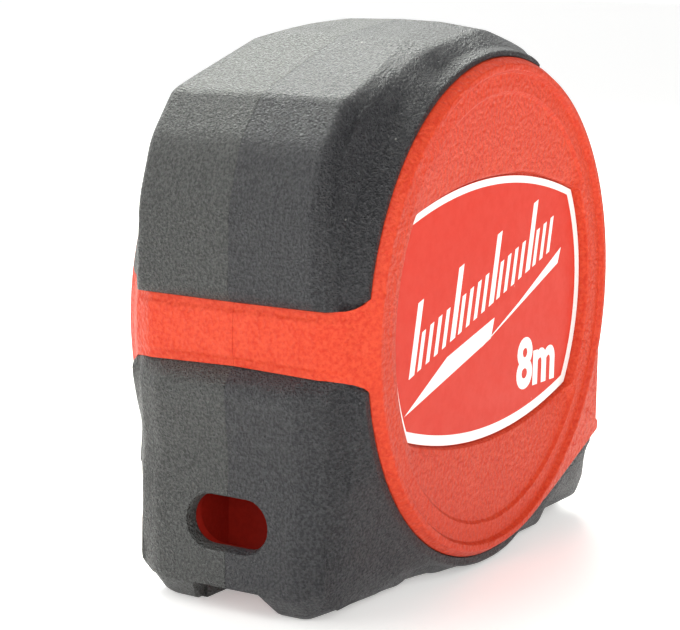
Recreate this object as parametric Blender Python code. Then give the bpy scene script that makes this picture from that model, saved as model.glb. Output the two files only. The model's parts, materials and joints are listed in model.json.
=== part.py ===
"""Pocket tape measure with an 8 m by 25 mm blade, as the separate pieces that it comes apart into.

Sizes are in metres and +Z is up. +X points out of the mouth, and the labelled side faces -Y.
Pieces are laid out around the reel's axis: x forward, y along the axis from the parting seam, z up.
The empty case_frame then lifts them all, so that the origin is the middle of the box's bottom.
Angles turn about the reel's axis, from +X towards +Z, in degrees.
"""

import math

import bmesh
import bpy
from mathutils import Vector

MM = 0.001

# Driving sizes of the case, measured from the reel's axis
BLADE_WIDTH = 25.0 * MM
DISC_RADIUS = 37.0 * MM
BACK_REACH = DISC_RADIUS + 4.2 * MM  # to the red band on the back
FRONT_REACH = DISC_RADIUS + 2.8 * MM  # to the front face
TOP_REACH = DISC_RADIUS + 5.0 * MM  # to the highest point
AXIS_HEIGHT = DISC_RADIUS + 2.3 * MM  # above the surface that the case stands on
CASE_WIDTH = BLADE_WIDTH + 15.8 * MM  # over the two raised rims, before the belt side's extra
BELT_EXTRA = 0.045  # how much wider the belt side is outside the hub, as a share
RUBBER = 2.6 * MM  # over-mould, with the gap under it
RUBBER_PROUD = 1.3 * MM  # how far the rubber stands over the red band
WALL = 2.2 * MM

# Driving sizes of the working pieces
BLADE_THICKNESS = 0.35 * MM
BLADE_CAMBER = 2.6 * MM
COIL_RADIUS = DISC_RADIUS - 7.2 * MM
DRUM_RADIUS = 14.7 * MM
FLANGE_THICKNESS = 1.2 * MM
POST_RADIUS = 4.0 * MM
SPRING_THICKNESS = 0.5 * MM
SPRING_TURNS = 6
HOOK_THICKNESS = 0.9 * MM
HOOK_WIDTH = 21.0 * MM
HOOK_PLATE = 15.0 * MM
HOOK_FLOAT = 1.0 * MM
RIVET_RADIUS = 1.5 * MM
LOCK_TRAVEL = 4.5 * MM
LOCK_BUTTON = (-14.0 * MM, 2.5 * MM)  # lowest and highest point of the button
LOCK_NECK = (-8.0 * MM, -2.5 * MM)
LOCK_WIDTH = 15.0 * MM
PAD_HALF = 2.6 * MM  # half width of the pad, which passes between the hook's rivets
CLIP_WIDTH = 19.0 * MM
CLIP_THICKNESS = 1.1 * MM
CLIP_GAP = 4.0 * MM  # room for a belt over the raised rim
LABEL_THICKNESS = 0.6 * MM
CLIP_SCREW = 1.7 * MM
BOSS_RADIUS = 2.5 * MM
SCREW_RADIUS = 1.0 * MM
SCREW_HEAD = 1.7 * MM
SCREW_ANGLES = (38.0, 142.0, 207.0, 332.0)

# Clearances
GAP = 0.3 * MM  # between pieces that touch
PLAY = 0.4 * MM  # beside pieces that move
SEAM = 0.15 * MM  # each half starts this far from the seam plane

# Half widths that follow from the case's width
RIM = CASE_WIDTH / 2
RING = RIM - 0.6 * MM
DISC_EDGE = RIM - 1.35 * MM
SIDE = RIM - 3.2 * MM  # side walls of the rubber, behind the disc
NOSE_SIDE = RIM - 2.3 * MM
FRONT_SIDE = RIM - 1.6 * MM
CORE_SIDE = SIDE - RUBBER + GAP
LABEL_FLOOR = RIM - 2.5 * MM
SCREW_SEAT = RING - 1.8 * MM
REEL_SPACE = LABEL_FLOOR - 1.7 * MM
CHANNEL = BLADE_WIDTH / 2 + 3 * GAP
BURIED = REEL_SPACE - PLAY  # where a core's end lies inside the disc
HUB_REACH = 30.0 * MM
WIDE_REACH = 32.5 * MM  # the belt side's extra width starts this far out

# Angles where the rubber starts and stops
BUMPER_FRONT = 67.0
BAND_UPPER = 174.0
BAND_LOWER = 186.3
NOSE_START = 278.0
STEP = 6.0  # widest angle between two stations
CIRCLE = 64

BLADE_TOP = -(COIL_RADIUS + GAP)
MOUTH_FLOOR = BLADE_TOP - BLADE_THICKNESS - HOOK_THICKNESS - 5 * GAP
MOUTH_ROOF = BLADE_TOP + BLADE_CAMBER + 3 * GAP
NOSE_TOP = MOUTH_ROOF + 1.9 * MM
HOOK_FACE = FRONT_REACH + 1.2 * MM
PAD_TOP = BLADE_TOP + GAP + LOCK_TRAVEL + 2.3 * MM
HEEL_WALL = (-BACK_REACH - 5.0 * MM, -BACK_REACH + 3.5 * MM)

BELT_SIDE, LABEL_SIDE = 1, -1
SIDES = {"right": LABEL_SIDE, "left": BELT_SIDE}

PALETTE = {
    "red_plastic": ((0.68, 0.06, 0.035), 0.42, 0.0),
    "black_rubber": ((0.05, 0.055, 0.058), 0.62, 0.0),
    "label_print": ((0.74, 0.08, 0.05), 0.35, 0.0),
    "grey_plastic": ((0.35, 0.36, 0.37), 0.5, 0.0),
    "black_plastic": ((0.03, 0.03, 0.03), 0.45, 0.0),
    "spring_steel": ((0.45, 0.46, 0.48), 0.3, 1.0),
    "blade_paint": ((0.88, 0.72, 0.10), 0.35, 0.0),
    "zinc_steel": ((0.72, 0.73, 0.74), 0.28, 1.0),
}


# ---------------------------------------------------------------- helpers


def make_material(name):
    color, roughness, metallic = PALETTE[name]
    material = bpy.data.materials.get(name) or bpy.data.materials.new(name)
    material.use_nodes = True
    shader = material.node_tree.nodes["Principled BSDF"]
    shader.inputs["Base Color"].default_value = (*color, 1.0)
    shader.inputs["Roughness"].default_value = roughness
    shader.inputs["Metallic"].default_value = metallic
    return material


def make_object(name, bm, material=None):
    """A named object from a closed bmesh; with no material it is a cutter and stays out of the model."""
    bmesh.ops.remove_doubles(bm, verts=bm.verts, dist=1e-7)
    bmesh.ops.dissolve_degenerate(bm, edges=bm.edges, dist=1e-7)
    bmesh.ops.recalc_face_normals(bm, faces=bm.faces)
    mesh = bpy.data.meshes.new(name)
    bm.to_mesh(mesh)
    bm.free()
    mesh.shade_smooth()
    mesh.set_sharp_from_angle(angle=math.radians(35))
    obj = bpy.data.objects.new(name, mesh)
    bpy.context.scene.collection.objects.link(obj)
    obj.parent = case_frame
    if material:
        mesh.materials.append(make_material(material))
    else:
        obj.hide_render = True
        obj.display_type = "WIRE"
    return obj


def boolean(obj, other, operation="DIFFERENCE"):
    modifier = obj.modifiers.new(operation.lower(), "BOOLEAN")
    modifier.solver = "EXACT"
    modifier.operation = operation
    modifier.object = other


def skin(sections, around=False, ring=False):
    """A closed bmesh over equal sections; around joins last to first, ring closes each section."""
    bm = bmesh.new()
    grid = [[bm.verts.new(point) for point in section] for section in sections]
    count = len(grid[0])
    pairs = list(zip(grid, grid[1:]))
    if around:
        pairs.append((grid[-1], grid[0]))
    for first, second in pairs:
        for j in range(count if ring else count - 1):
            k = (j + 1) % count
            bm.faces.new((first[j], first[k], second[k], second[j]))
    if around and not ring:
        bm.faces.new([row[0] for row in grid])
        bm.faces.new([row[-1] for row in grid])
    if ring and not around:
        bm.faces.new(grid[0])
        bm.faces.new(grid[-1])
    return bm


def prism(outline, low, high, axis="y"):
    """A closed bmesh: an outline in x and z carried from low to high along y, or in y and z along x."""
    if axis == "y":
        rows = [[Vector((u, at, w)) for u, w in outline] for at in (low, high)]
    elif axis == "x":
        rows = [[Vector((at, u, w)) for u, w in outline] for at in (low, high)]
    else:
        rows = [[Vector((u, w, at)) for u, w in outline] for at in (low, high)]
    return skin(rows, ring=True)


def box(low, high):
    outline = [(low[0], low[2]), (high[0], low[2]), (high[0], high[2]), (low[0], high[2])]
    return prism(outline, low[1], high[1])


def lathe(profile, center=(0.0, 0.0), count=CIRCLE, ring=False):
    """A closed bmesh turned about a line along y, from (y, radius) pairs.

    With ring the profile is a loop, and the body has a bore.
    """
    sections = []
    for i in range(count):
        turn = math.tau * i / count
        sections.append(
            [
                Vector((center[0] + r * math.cos(turn), y, center[1] + r * math.sin(turn)))
                for y, r in profile
            ]
        )
    return skin(sections, around=True, ring=ring)


def rounded(points, radii, steps=3):
    """An open path through the points, with each inner corner rounded by about its radius."""
    path = [Vector(points[0])]
    for before, corner, after, radius in zip(points, points[1:], points[2:], radii):
        corner = Vector(corner)
        back = (Vector(before) - corner).normalized()
        ahead = (Vector(after) - corner).normalized()
        half = back.angle(ahead) / 2
        length = min(
            radius / math.tan(half),
            0.45 * (Vector(before) - corner).length,
            0.45 * (Vector(after) - corner).length,
        )
        start = corner + back * length
        end = corner + ahead * length
        for i in range(steps + 1):
            t = i / steps
            path.append((1 - t) ** 2 * start + 2 * t * (1 - t) * corner + t * t * end)
    path.append(Vector(points[-1]))
    return path


def angle_of(point):
    return math.degrees(math.atan2(point[1], point[0])) % 360


def reach_at(path, angle):
    """How far the ray at this angle goes from the reel's axis to the path."""
    ray = Vector((math.cos(math.radians(angle)), math.sin(math.radians(angle))))
    nearest = None
    for a, b in zip(path, path[1:]):
        along = b - a
        cross = ray.x * along.y - ray.y * along.x
        if abs(cross) < 1e-12:
            continue
        reach = (a.x * along.y - a.y * along.x) / cross
        t = (a.x * ray.y - a.y * ray.x) / cross
        miss = max(0.0, -t, t - 1)
        if reach > 0 and (nearest is None or miss < nearest[0]):
            nearest = (miss, reach)
    return nearest[1]


def stations(start, stop, paths=()):
    """Angles from start to stop: each path's corners in between, and none further apart than STEP."""
    fixed = {round(start, 3), round(stop, 3)}
    for path in paths:
        for point in path:
            angle = angle_of(point)
            if start + 0.8 < angle < stop - 0.8:
                fixed.add(round(angle, 3))
    angles = []
    for a, b in zip(sorted(fixed), sorted(fixed)[1:]):
        count = max(1, math.ceil((b - a) / STEP))
        angles += [a + (b - a) * i / count for i in range(count)]
    return angles + [max(fixed)]


def smooth(value, low, high):
    t = min(1.0, max(0.0, (value - low) / (high - low)))
    return t * t * (3 - 2 * t)


def widened(half_width, reach, side):
    """The half width here, with the belt side's extra outside the hub."""
    extra = BELT_EXTRA if side == BELT_SIDE and reach > WIDE_REACH else 0.0
    return side * half_width * (1 + extra)


def place(section, angle, side):
    """Turns (half width, reach) pairs into points at this angle on one side of the seam."""
    turn = math.radians(angle)
    return [Vector((r * math.cos(turn), widened(y, r, side), r * math.sin(turn))) for y, r in section]


# ---------------------------------------------------------------- outlines in the seam plane


def upper_outline():
    """Back, three facets and crown of the upper bumper, from the band to its front end."""
    back = -(BACK_REACH + RUBBER_PROUD)
    points = [
        (back, 4.3 * MM),
        (back, TOP_REACH - 24.5 * MM),
        (back + 2.6 * MM, TOP_REACH - 16.0 * MM),
        (back + 7.7 * MM, TOP_REACH - 9.6 * MM),
        (-14.7 * MM, TOP_REACH - 2.3 * MM),
        (2.8 * MM, TOP_REACH),
        (16.1 * MM, TOP_REACH - 3.2 * MM),
    ]
    return rounded(points, [14 * MM, 10 * MM, 4 * MM, 8 * MM, 14 * MM])


def lower_outline():
    """Heel, feet, bottom rail and nose of the lower bumper, from the band to the nose's top edge."""
    back = -(BACK_REACH + RUBBER_PROUD)
    floor = -AXIS_HEIGHT
    nose_floor = floor + 2.0 * MM
    points = [
        (-BACK_REACH - 0.3 * MM, -4.5 * MM),
        (back - 0.8 * MM, -7.2 * MM),
        (back + 0.7 * MM, -18.4 * MM),
        (back, floor + 9.2 * MM),
        (back + 0.1 * MM, floor + 3.4 * MM),
        (back + 3.4 * MM, floor),
        (-21.0 * MM, floor),
        (-19.5 * MM, floor + 0.6 * MM),
        (-11.0 * MM, floor + 0.6 * MM),
        (-9.5 * MM, floor),
        (FRONT_REACH - 16.8 * MM, floor),
        (FRONT_REACH - 14.6 * MM, nose_floor),
        (FRONT_REACH - 2.6 * MM, nose_floor),
        (FRONT_REACH, nose_floor + 2.8 * MM),
        (FRONT_REACH, NOSE_TOP),
    ]
    radii = [3, 12, 10, 2, 1.5, 1, 1, 1, 1, 1, 1, 2, 2]
    return rounded(points, [radius * MM for radius in radii], steps=2)


def front_outline():
    """Bare red front, from the nose's top edge up to the upper bumper."""
    points = [
        (FRONT_REACH, NOSE_TOP),
        (FRONT_REACH, 4.0 * MM),
        (FRONT_REACH - 3.3 * MM, 17.0 * MM),
        (FRONT_REACH - 11.8 * MM, 29.0 * MM),
        (15.6 * MM, TOP_REACH - 5.4 * MM),
    ]
    return rounded(points, [10 * MM, 10 * MM, 10 * MM])


def nose_edge():
    """Where the red side meets the black nose: it leaves the disc's circle and climbs to the front."""
    points = [
        (4.8 * MM, -math.sqrt(DISC_RADIUS**2 - (4.8 * MM) ** 2)),
        (19.9 * MM, -DISC_RADIUS + 3.7 * MM),
        (FRONT_REACH + 0.5 * MM, NOSE_TOP),
    ]
    return rounded(points, [20 * MM])


def cavity_outline():
    """Inside of the case around the reel and the front channel, a wall in from the outside."""
    back = -(BACK_REACH + RUBBER_PROUD) + RUBBER + WALL
    top = TOP_REACH - RUBBER - WALL
    front = FRONT_REACH - WALL - 0.2 * MM
    pocket_roof = -AXIS_HEIGHT + 18.6 * MM
    outline = [
        (front, MOUTH_FLOOR),
        (front, 3.5 * MM),
        (front - 3.0 * MM, 15.5 * MM),
        (front - 11.0 * MM, 26.8 * MM),
        (15.0 * MM, top - 4.2 * MM),
        (2.5 * MM, top - 0.4 * MM),
        (-14.0 * MM, top - 2.4 * MM),
        (back + 6.2 * MM, top - 9.6 * MM),
        (back + 1.6 * MM, top - 15.5 * MM),
        (back, top - 22.5 * MM),
        (back, pocket_roof),
        (-BACK_REACH + 12.6 * MM, pocket_roof),
    ]
    bottom = DISC_RADIUS - WALL - 0.3 * MM
    start = angle_of((-BACK_REACH + 13.5 * MM, pocket_roof - 1.0 * MM))
    stop = 360 - math.degrees(math.asin(-MOUTH_FLOOR / bottom))
    count = 9
    for i in range(count + 1):
        turn = math.radians(start + (stop - start) * i / count)
        outline.append((bottom * math.cos(turn), bottom * math.sin(turn)))
    return outline


# ---------------------------------------------------------------- case


def core_section(angle, covered):
    """Half width and reach of the red shell at one angle, from the seam out to inside the disc."""
    if covered:
        path = UPPER if angle < BAND_UPPER + 1 else LOWER
        reach = reach_at(path, angle) - RUBBER
        edge = DISC_RADIUS - 0.6 * MM
        side = CORE_SIDE
        if angle > NOSE_START:
            edge = max(edge, min(reach_at(NOSE_EDGE, angle), reach - 2.2 * MM))
            spread = smooth(angle, NOSE_START, NOSE_START + 12)
            side = CORE_SIDE + (FRONT_SIDE - CORE_SIDE) * (spread if spread > 0.1 else 0.0)
        return [
            (SEAM, reach),
            (CORE_SIDE - 4.0 * MM, reach),
            (CORE_SIDE - 1.2 * MM, reach - 0.8 * MM),
            (CORE_SIDE, max(reach - 2.2 * MM, edge)),
            (CORE_SIDE, edge),
            (side, edge),
            (side, DISC_RADIUS - 1.0 * MM),
            (BURIED, HUB_REACH),
        ]
    if BAND_UPPER - 1 < angle < BAND_LOWER + 1:
        reach = -BACK_REACH / math.cos(math.radians(angle))
        return [
            (SEAM, reach),
            (SIDE - 5.5 * MM, reach),
            (SIDE - 3.0 * MM, reach - 0.7 * MM),
            (SIDE - 0.9 * MM, reach - 2.3 * MM),
            (SIDE, reach - 4.2 * MM),
            (SIDE + 0.6 * MM, DISC_RADIUS + 0.2 * MM),
            (SIDE + 0.8 * MM, DISC_RADIUS - 1.0 * MM),
            (BURIED, HUB_REACH),
        ]
    reach = reach_at(FRONT, angle)
    rise = angle if angle < 180 else angle - 360
    round_off = 2.3 * MM + 0.6 * MM * smooth(rise, -10, 20)
    side = FRONT_SIDE - 1.6 * MM * smooth(rise, -14, 12)
    flat = side - 5.0 * MM - 4.0 * MM * smooth(rise, -10, 30)
    return [
        (SEAM, reach),
        (flat, reach),
        (side - 0.45 * (side - flat), reach - 0.15 * round_off),
        (side - 0.16 * (side - flat), reach - 0.48 * round_off),
        (side, reach - round_off),
        (side, reach - round_off - 0.2 * MM),
        (side, DISC_RADIUS - 1.0 * MM),
        (BURIED, HUB_REACH),
    ]


def shell_core(name, side, grow=0.0):
    """The red body behind the disc: stepped in under the rubber, bare at the band and the front.

    With grow it is the cutter that leaves the gap under the rubber.
    """
    nose = angle_of((FRONT_REACH, NOSE_TOP))
    zones = [
        (0.0, BUMPER_FRONT, False, [FRONT]),
        (BUMPER_FRONT, BAND_UPPER, True, [UPPER]),
        (BAND_UPPER, BAND_LOWER, False, []),
        (BAND_LOWER, nose, True, [LOWER]),
        (nose, 360.0, False, [FRONT]),
    ]
    sections = []
    for start, stop, covered, paths in zones:
        for angle in stations(start, stop, paths):
            if angle < 360.0:
                section = [(y + grow, r + grow) for y, r in core_section(angle, covered)]
                if grow:
                    section[0] = (-1.0 * MM, section[0][1])
                sections.append(place(section, angle, side))
    return make_object(name, skin(sections, around=True), None if grow else "red_plastic")


def disc(name, side):
    profile = [
        (BURIED - 0.5 * MM, DISC_RADIUS),
        (DISC_EDGE, DISC_RADIUS),
        (RIM, DISC_RADIUS - 1.0 * MM),
        (RIM, DISC_RADIUS - 1.9 * MM),
        (RING, DISC_RADIUS - 2.3 * MM),
    ]
    return make_object(name, lathe([(widened(y, r, side), r) for y, r in profile]))


def label_reach(angle, grow):
    """Reach of the barrel-shaped label: round ends, and a long arc above and below."""
    turn = math.radians(angle)
    ray = Vector((math.cos(turn), math.sin(turn)))
    arc = 85.0 * MM
    rise = 19.5 * MM
    center = Vector((0.0, rise - arc if ray.y > 0 else arc - rise))
    dot = ray.dot(center)
    to_arc = dot + math.sqrt(dot * dot - center.length_squared + arc * arc)
    return min(DISC_RADIUS - 6.8 * MM, to_arc) + grow


def label_angles():
    corner = math.degrees(math.atan2(15.5, 26.0))
    angles = {corner, 180 - corner, 180 + corner, 360 - corner}
    return sorted(angles | {7.5 * i for i in range(48)})


def label_recess(name, side):
    """Dished recess: a sheer pocket for the label under a slope that rises to the ring."""
    rows = [
        (LABEL_FLOOR, label_reach, GAP),
        (LABEL_FLOOR + 1.0 * MM, label_reach, GAP),
        (RING + GAP, ring_reach, 2 * GAP),
        (RIM + 1.0 * MM, ring_reach, 2 * GAP),
    ]
    sections = []
    for angle in label_angles():
        section = [(y, reach(angle, grow)) for y, reach, grow in rows]
        sections.append(place(section, angle, side))
    return make_object(name, skin(sections, around=True))


def ring_reach(_angle, grow):
    return DISC_RADIUS - 6.2 * MM + grow


def screw_places():
    """The four case screws on the flat ring, as x and z from the reel's axis."""
    circle = DISC_RADIUS - 3.5 * MM
    return [
        (circle * math.cos(math.radians(angle)), circle * math.sin(math.radians(angle)))
        for angle in SCREW_ANGLES
    ]


def lanyard_slot(name, half_length, half_height, low, high):
    """Obround hole through the back, for a wrist loop."""
    middle = -AXIS_HEIGHT + 12.9 * MM
    straight = half_length - half_height
    outline = []
    for end, first in ((1, -90), (-1, 90)):
        for i in range(9):
            turn = math.radians(first + 180 * i / 8)
            outline.append(
                (end * straight + half_height * math.cos(turn), middle + half_height * math.sin(turn))
            )
    return make_object(name, prism(outline, low, high, axis="x"))


def lanyard_notch(name, low, high):
    """Slant-sided notch in the heel's lower edge, where the wrist loop leaves the pocket."""
    floor = -AXIS_HEIGHT
    outline = [
        (-7.6 * MM, floor - 1.0 * MM),
        (-5.6 * MM, floor + 3.6 * MM),
        (5.6 * MM, floor + 3.6 * MM),
        (7.6 * MM, floor - 1.0 * MM),
    ]
    return make_object(name, prism(outline, low, high, axis="x"))


def lanyard_pocket(name, half_width):
    """Space behind the slot, open downwards, that the wrist loop passes through."""
    low = (-BACK_REACH + 3.0 * MM, -half_width, -AXIS_HEIGHT - 1.0 * MM)
    high = (-BACK_REACH + 10.4 * MM, half_width, -AXIS_HEIGHT + 17.0 * MM)
    return make_object(name, box(low, high))


def build_shell(word, side):
    shell = shell_core(f"{word}_case_shell", side)
    boolean(shell, disc(f"cut_{word}_disc", side), "UNION")
    boolean(shell, label_recess(f"cut_{word}_recess", side))
    inner, outer = sorted((-side * 1.0 * MM, side * CHANNEL))
    boolean(shell, make_object(f"cut_{word}_cavity", prism(cavity_outline(), inner, outer)))
    room = DISC_RADIUS - WALL - 1.7 * MM
    space = [(-side * 0.9 * MM, room), (side * REEL_SPACE, room)]
    boolean(shell, make_object(f"cut_{word}_reel_space", lathe(space)))
    for i, (x, z) in enumerate(screw_places(), 1):
        boss = [(side * SEAM, BOSS_RADIUS), (side * (REEL_SPACE + 0.5 * MM), BOSS_RADIUS)]
        boolean(shell, make_object(f"cut_{word}_boss_{i}", lathe(boss, (x, z), 20)), "UNION")
        boolean(shell, screw_hole(f"cut_{word}_hole_{i}", side, x, z))
    boolean(shell, lanyard_slot(f"cut_{word}_slot", 7.1 * MM, 4.2 * MM, *HEEL_WALL))
    boolean(shell, lanyard_notch(f"cut_{word}_notch", *HEEL_WALL))
    boolean(shell, lanyard_pocket(f"cut_{word}_pocket", 7.4 * MM))
    boolean(shell, mouth(f"cut_{word}_mouth", CHANNEL, MOUTH_ROOF))
    boolean(shell, lock_window(f"cut_{word}_window"))
    boolean(shell, post_socket(f"cut_{word}_socket", side))
    return shell


def screw_hole(name, side, x, z):
    """Through hole with a sunk seat on the belt side, blind hole in the other half."""
    hole = SCREW_RADIUS + GAP
    seat = SCREW_HEAD + GAP
    if side == BELT_SIDE:
        under = SCREW_SEAT - GAP
        profile = [(-1.0 * MM, hole), (under, hole), (under, seat), (RIM + 2.0 * MM, seat)]
    else:
        profile = [(1.0 * MM, hole), (-9.0 * MM, hole)]
    return make_object(name, lathe(profile, (x, z), 20))


def mouth(name, half_width, roof):
    """Opening in the front that the blade comes out of; the rubber's is open up to its top edge."""
    low = (FRONT_REACH - 8.0 * MM, -half_width, MOUTH_FLOOR)
    high = (FRONT_REACH + 3.0 * MM, half_width, roof)
    return make_object(name, box(low, high))


def lock_window(name):
    """Slot in the front face that the lock's neck slides in."""
    low = (FRONT_REACH - 4.0 * MM, -3.0 * MM - PLAY, LOCK_NECK[0] - LOCK_TRAVEL - PLAY)
    high = (FRONT_REACH + 3.0 * MM, 3.0 * MM + PLAY, LOCK_NECK[1] + PLAY)
    return make_object(name, box(low, high))


def post_socket(name, side):
    """Seat for the post's end on the label side, through hole for the clip screw on the belt side."""
    if side == LABEL_SIDE:
        radius = POST_RADIUS + GAP
        profile = [(-REEL_SPACE + 1.0 * MM, radius), (-REEL_SPACE - 0.8 * MM, radius)]
    else:
        radius = CLIP_SCREW + GAP
        profile = [(REEL_SPACE - 1.0 * MM, radius), (RIM + 1.0 * MM, radius)]
    return make_object(name, lathe(profile, count=24))


def bumper_section(angle, path, flat, side, drop, edge, lip, bow=0.0):
    """Loop of half width and reach: flat back, round shoulder, side wall, crease and lip by the disc.

    The back bows down by this share of its crown.
    """
    reach = reach_at(path, angle)
    lip_reach = edge + lip
    low = max(reach - drop, lip_reach + 0.7 * MM)
    crease = max(min(low - 0.4 * MM, lip_reach + 1.7 * MM), lip_reach + 0.35 * MM)
    lip_side = max(side, DISC_EDGE - 0.05 * MM) if lip > 0 else side
    crown = min(0.6 * MM, 0.25 * (reach - low))
    return [
        (SEAM, reach),
        (flat, reach - bow * crown),
        (flat + 0.45 * (side - flat), reach - crown - 0.05 * (reach - low)),
        (flat + 0.80 * (side - flat), reach - crown - 0.42 * (reach - low - crown)),
        (side, low),
        (side + 0.05 * MM, crease),
        (side + 0.6 * (lip_side - side), lip_reach + 0.25 * (crease - lip_reach)),
        (lip_side, lip_reach),
        (lip_side, edge - 1.0 * MM),
        (BURIED - 1.0 * MM, edge - 1.4 * MM),
        (BURIED - 1.0 * MM, HUB_REACH),
        (SEAM, HUB_REACH),
    ]


def upper_section(angle):
    """Upper bumper: its flat back narrows over the crown, where the shoulders run into the lip."""
    crown = smooth(angle, 132, 95)
    flat = 10.6 * MM - 4.0 * MM * (1 - smooth(angle, 80, 120))
    drop = 3.6 * MM + 1.0 * MM * crown
    return bumper_section(angle, UPPER, flat, SIDE, drop, DISC_RADIUS, 1.5 * MM, bow=0.3)


def lower_section(angle):
    """Lower bumper: wide heel, rail along the bottom, then the nose, whose side lies beyond the disc."""
    nose = smooth(angle, NOSE_START, NOSE_START + 20)
    heel = 1 - smooth(angle, 236, 252)
    side = SIDE + 0.4 * MM * heel + (NOSE_SIDE - SIDE) * nose
    flat = 14.2 * MM - 3.0 * MM * heel
    drop = 2.2 * MM + 2.2 * MM * heel + 0.4 * MM * nose
    edge = DISC_RADIUS
    if angle > NOSE_START:
        edge = min(reach_at(NOSE_EDGE, angle), reach_at(LOWER, angle) - drop - 0.8 * MM)
        edge = max(edge, DISC_RADIUS)
    return bumper_section(angle, LOWER, flat, side, drop, edge, 1.5 * MM * (1 - nose))


def build_bumper(name, word, side, start, stop, section, path):
    margin = math.degrees(GAP / BACK_REACH)
    sections = [place(section(a), a, side) for a in stations(start + margin, stop - margin, [path])]
    bumper = make_object(name, skin(sections, ring=True), "black_rubber")
    boolean(bumper, bpy.data.objects[f"cut_{word}_core"])
    grown = [(side * (BURIED - 2.0 * MM), DISC_RADIUS + GAP), (side * (RIM + MM), DISC_RADIUS + GAP)]
    boolean(bumper, make_object(f"cut_{name}_disc", lathe(grown)))
    return bumper


def build_bumpers():
    nose = angle_of((FRONT_REACH, NOSE_TOP))
    for word, side in SIDES.items():
        shell_core(f"cut_{word}_core", side, GAP)
        build_bumper(f"{word}_upper_bumper", word, side, BUMPER_FRONT, BAND_UPPER, upper_section, UPPER)
        name = f"{word}_lower_bumper"
        lower = build_bumper(name, word, side, BAND_LOWER, nose, lower_section, LOWER)
        boolean(lower, lanyard_slot(f"cut_{name}_slot", 6.46 * MM, 3.62 * MM, *HEEL_WALL))
        boolean(lower, lanyard_notch(f"cut_{name}_notch", *HEEL_WALL))
        boolean(lower, lanyard_pocket(f"cut_{name}_pocket", 6.2 * MM))
        boolean(lower, mouth(f"cut_{name}_mouth", CHANNEL + 0.4 * MM, NOSE_TOP + 2.0 * MM))


def build_label():
    floor = LABEL_FLOOR + GAP
    sections = []
    for angle in label_angles():
        section = [(y, label_reach(angle, 0.0)) for y in (floor, floor + LABEL_THICKNESS)]
        sections.append(place(section, angle, LABEL_SIDE))
    make_object("label_plate", skin(sections, around=True), "label_print")


# ---------------------------------------------------------------- reel, spring and blade


def build_reel():
    half = BLADE_WIDTH / 2 + GAP
    flange = half + FLANGE_THICKNESS
    outer = COIL_RADIUS + 0.6 * MM
    bore = POST_RADIUS + GAP
    drum_wall = 1.3 * MM
    drum = [
        (-flange, bore),
        (-flange, outer),
        (-half, outer),
        (-half, DRUM_RADIUS),
        (half - GAP, DRUM_RADIUS),
        (half - GAP, DRUM_RADIUS - drum_wall),
        (-half, DRUM_RADIUS - drum_wall),
        (-half, bore),
    ]
    make_object("reel_drum", lathe(drum, ring=True), "grey_plastic")
    spigot = DRUM_RADIUS - drum_wall - GAP
    cover = [
        (half - 1.5 * MM, bore),
        (half - 1.5 * MM, spigot),
        (half, spigot),
        (half, outer),
        (flange, outer),
        (flange, bore),
    ]
    make_object("reel_cover", lathe(cover, ring=True), "grey_plastic")
    inner = DRUM_RADIUS + GAP
    coil = [
        (-BLADE_WIDTH / 2, inner),
        (-BLADE_WIDTH / 2, COIL_RADIUS),
        (BLADE_WIDTH / 2, COIL_RADIUS),
        (BLADE_WIDTH / 2, inner),
    ]
    make_object("blade_coil", lathe(coil, ring=True), "blade_paint")


def build_post():
    profile = [
        (-REEL_SPACE - 0.5 * MM, 0.0),
        (-REEL_SPACE - 0.5 * MM, POST_RADIUS),
        (REEL_SPACE - GAP, POST_RADIUS),
        (REEL_SPACE - GAP, CLIP_SCREW + GAP),
        (REEL_SPACE - 12.0 * MM, CLIP_SCREW + GAP),
        (REEL_SPACE - 12.0 * MM, 0.0),
    ]
    make_object("center_post", lathe(profile, count=32), "grey_plastic")


def build_mainspring():
    """Flat spiral between the post and the drum, wound tight enough to leave air between the turns."""
    inner = POST_RADIUS + 1.4 * MM
    outer = DRUM_RADIUS - 1.3 * MM - GAP - SPRING_THICKNESS
    half = BLADE_WIDTH / 2 - 2.2 * MM
    per_turn = 24
    sections = []
    for i in range(SPRING_TURNS * per_turn + 1):
        share = i / (SPRING_TURNS * per_turn)
        turn = math.tau * i / per_turn
        radius = inner + (outer - inner) * share
        ray = Vector((math.cos(turn), 0.0, math.sin(turn)))
        across = Vector((0.0, half, 0.0))
        near = ray * radius
        far = ray * (radius + SPRING_THICKNESS)
        sections.append([near - across, near + across, far + across, far - across])
    make_object("mainspring", skin(sections, ring=True), "spring_steel")


def blade_rise(x, y):
    """How far the blade curls up at this place: flat by the coil, cambered from there to the hook."""
    return BLADE_CAMBER * smooth(x, 4 * MM, 22 * MM) * (2 * y / BLADE_WIDTH) ** 2


def cambered_strip(start, stop, half_width, top, thickness, across=8, along=10):
    sections = []
    for i in range(along + 1):
        x = start + (stop - start) * i / along
        upper = []
        lower = []
        for j in range(across + 1):
            y = half_width * (2 * j / across - 1)
            z = top + blade_rise(x, y)
            upper.append(Vector((x, y, z)))
            lower.append(Vector((x, y, z - thickness)))
        sections.append(upper + lower[::-1])
    return skin(sections, ring=True)


def build_blade():
    tongue = cambered_strip(
        2.0 * MM, HOOK_FACE - GAP, BLADE_WIDTH / 2, BLADE_TOP, BLADE_THICKNESS, along=14
    )
    blade = make_object("blade_tongue", tongue, "blade_paint")
    rivets = rivet_places()
    for i, (x, y) in enumerate(rivets, 1):
        hole = vertical_pin(f"cut_blade_hole_{i}", x, y, RIVET_RADIUS * 0.5 + GAP, -3 * MM, 3 * MM)
        boolean(blade, hole)


def rivet_places():
    """The three rivets, as x and y."""
    pair = HOOK_FACE - 5.2 * MM
    return [(pair, -4.6 * MM), (pair, 4.6 * MM), (HOOK_FACE - 11.0 * MM, 0.0)]


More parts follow.
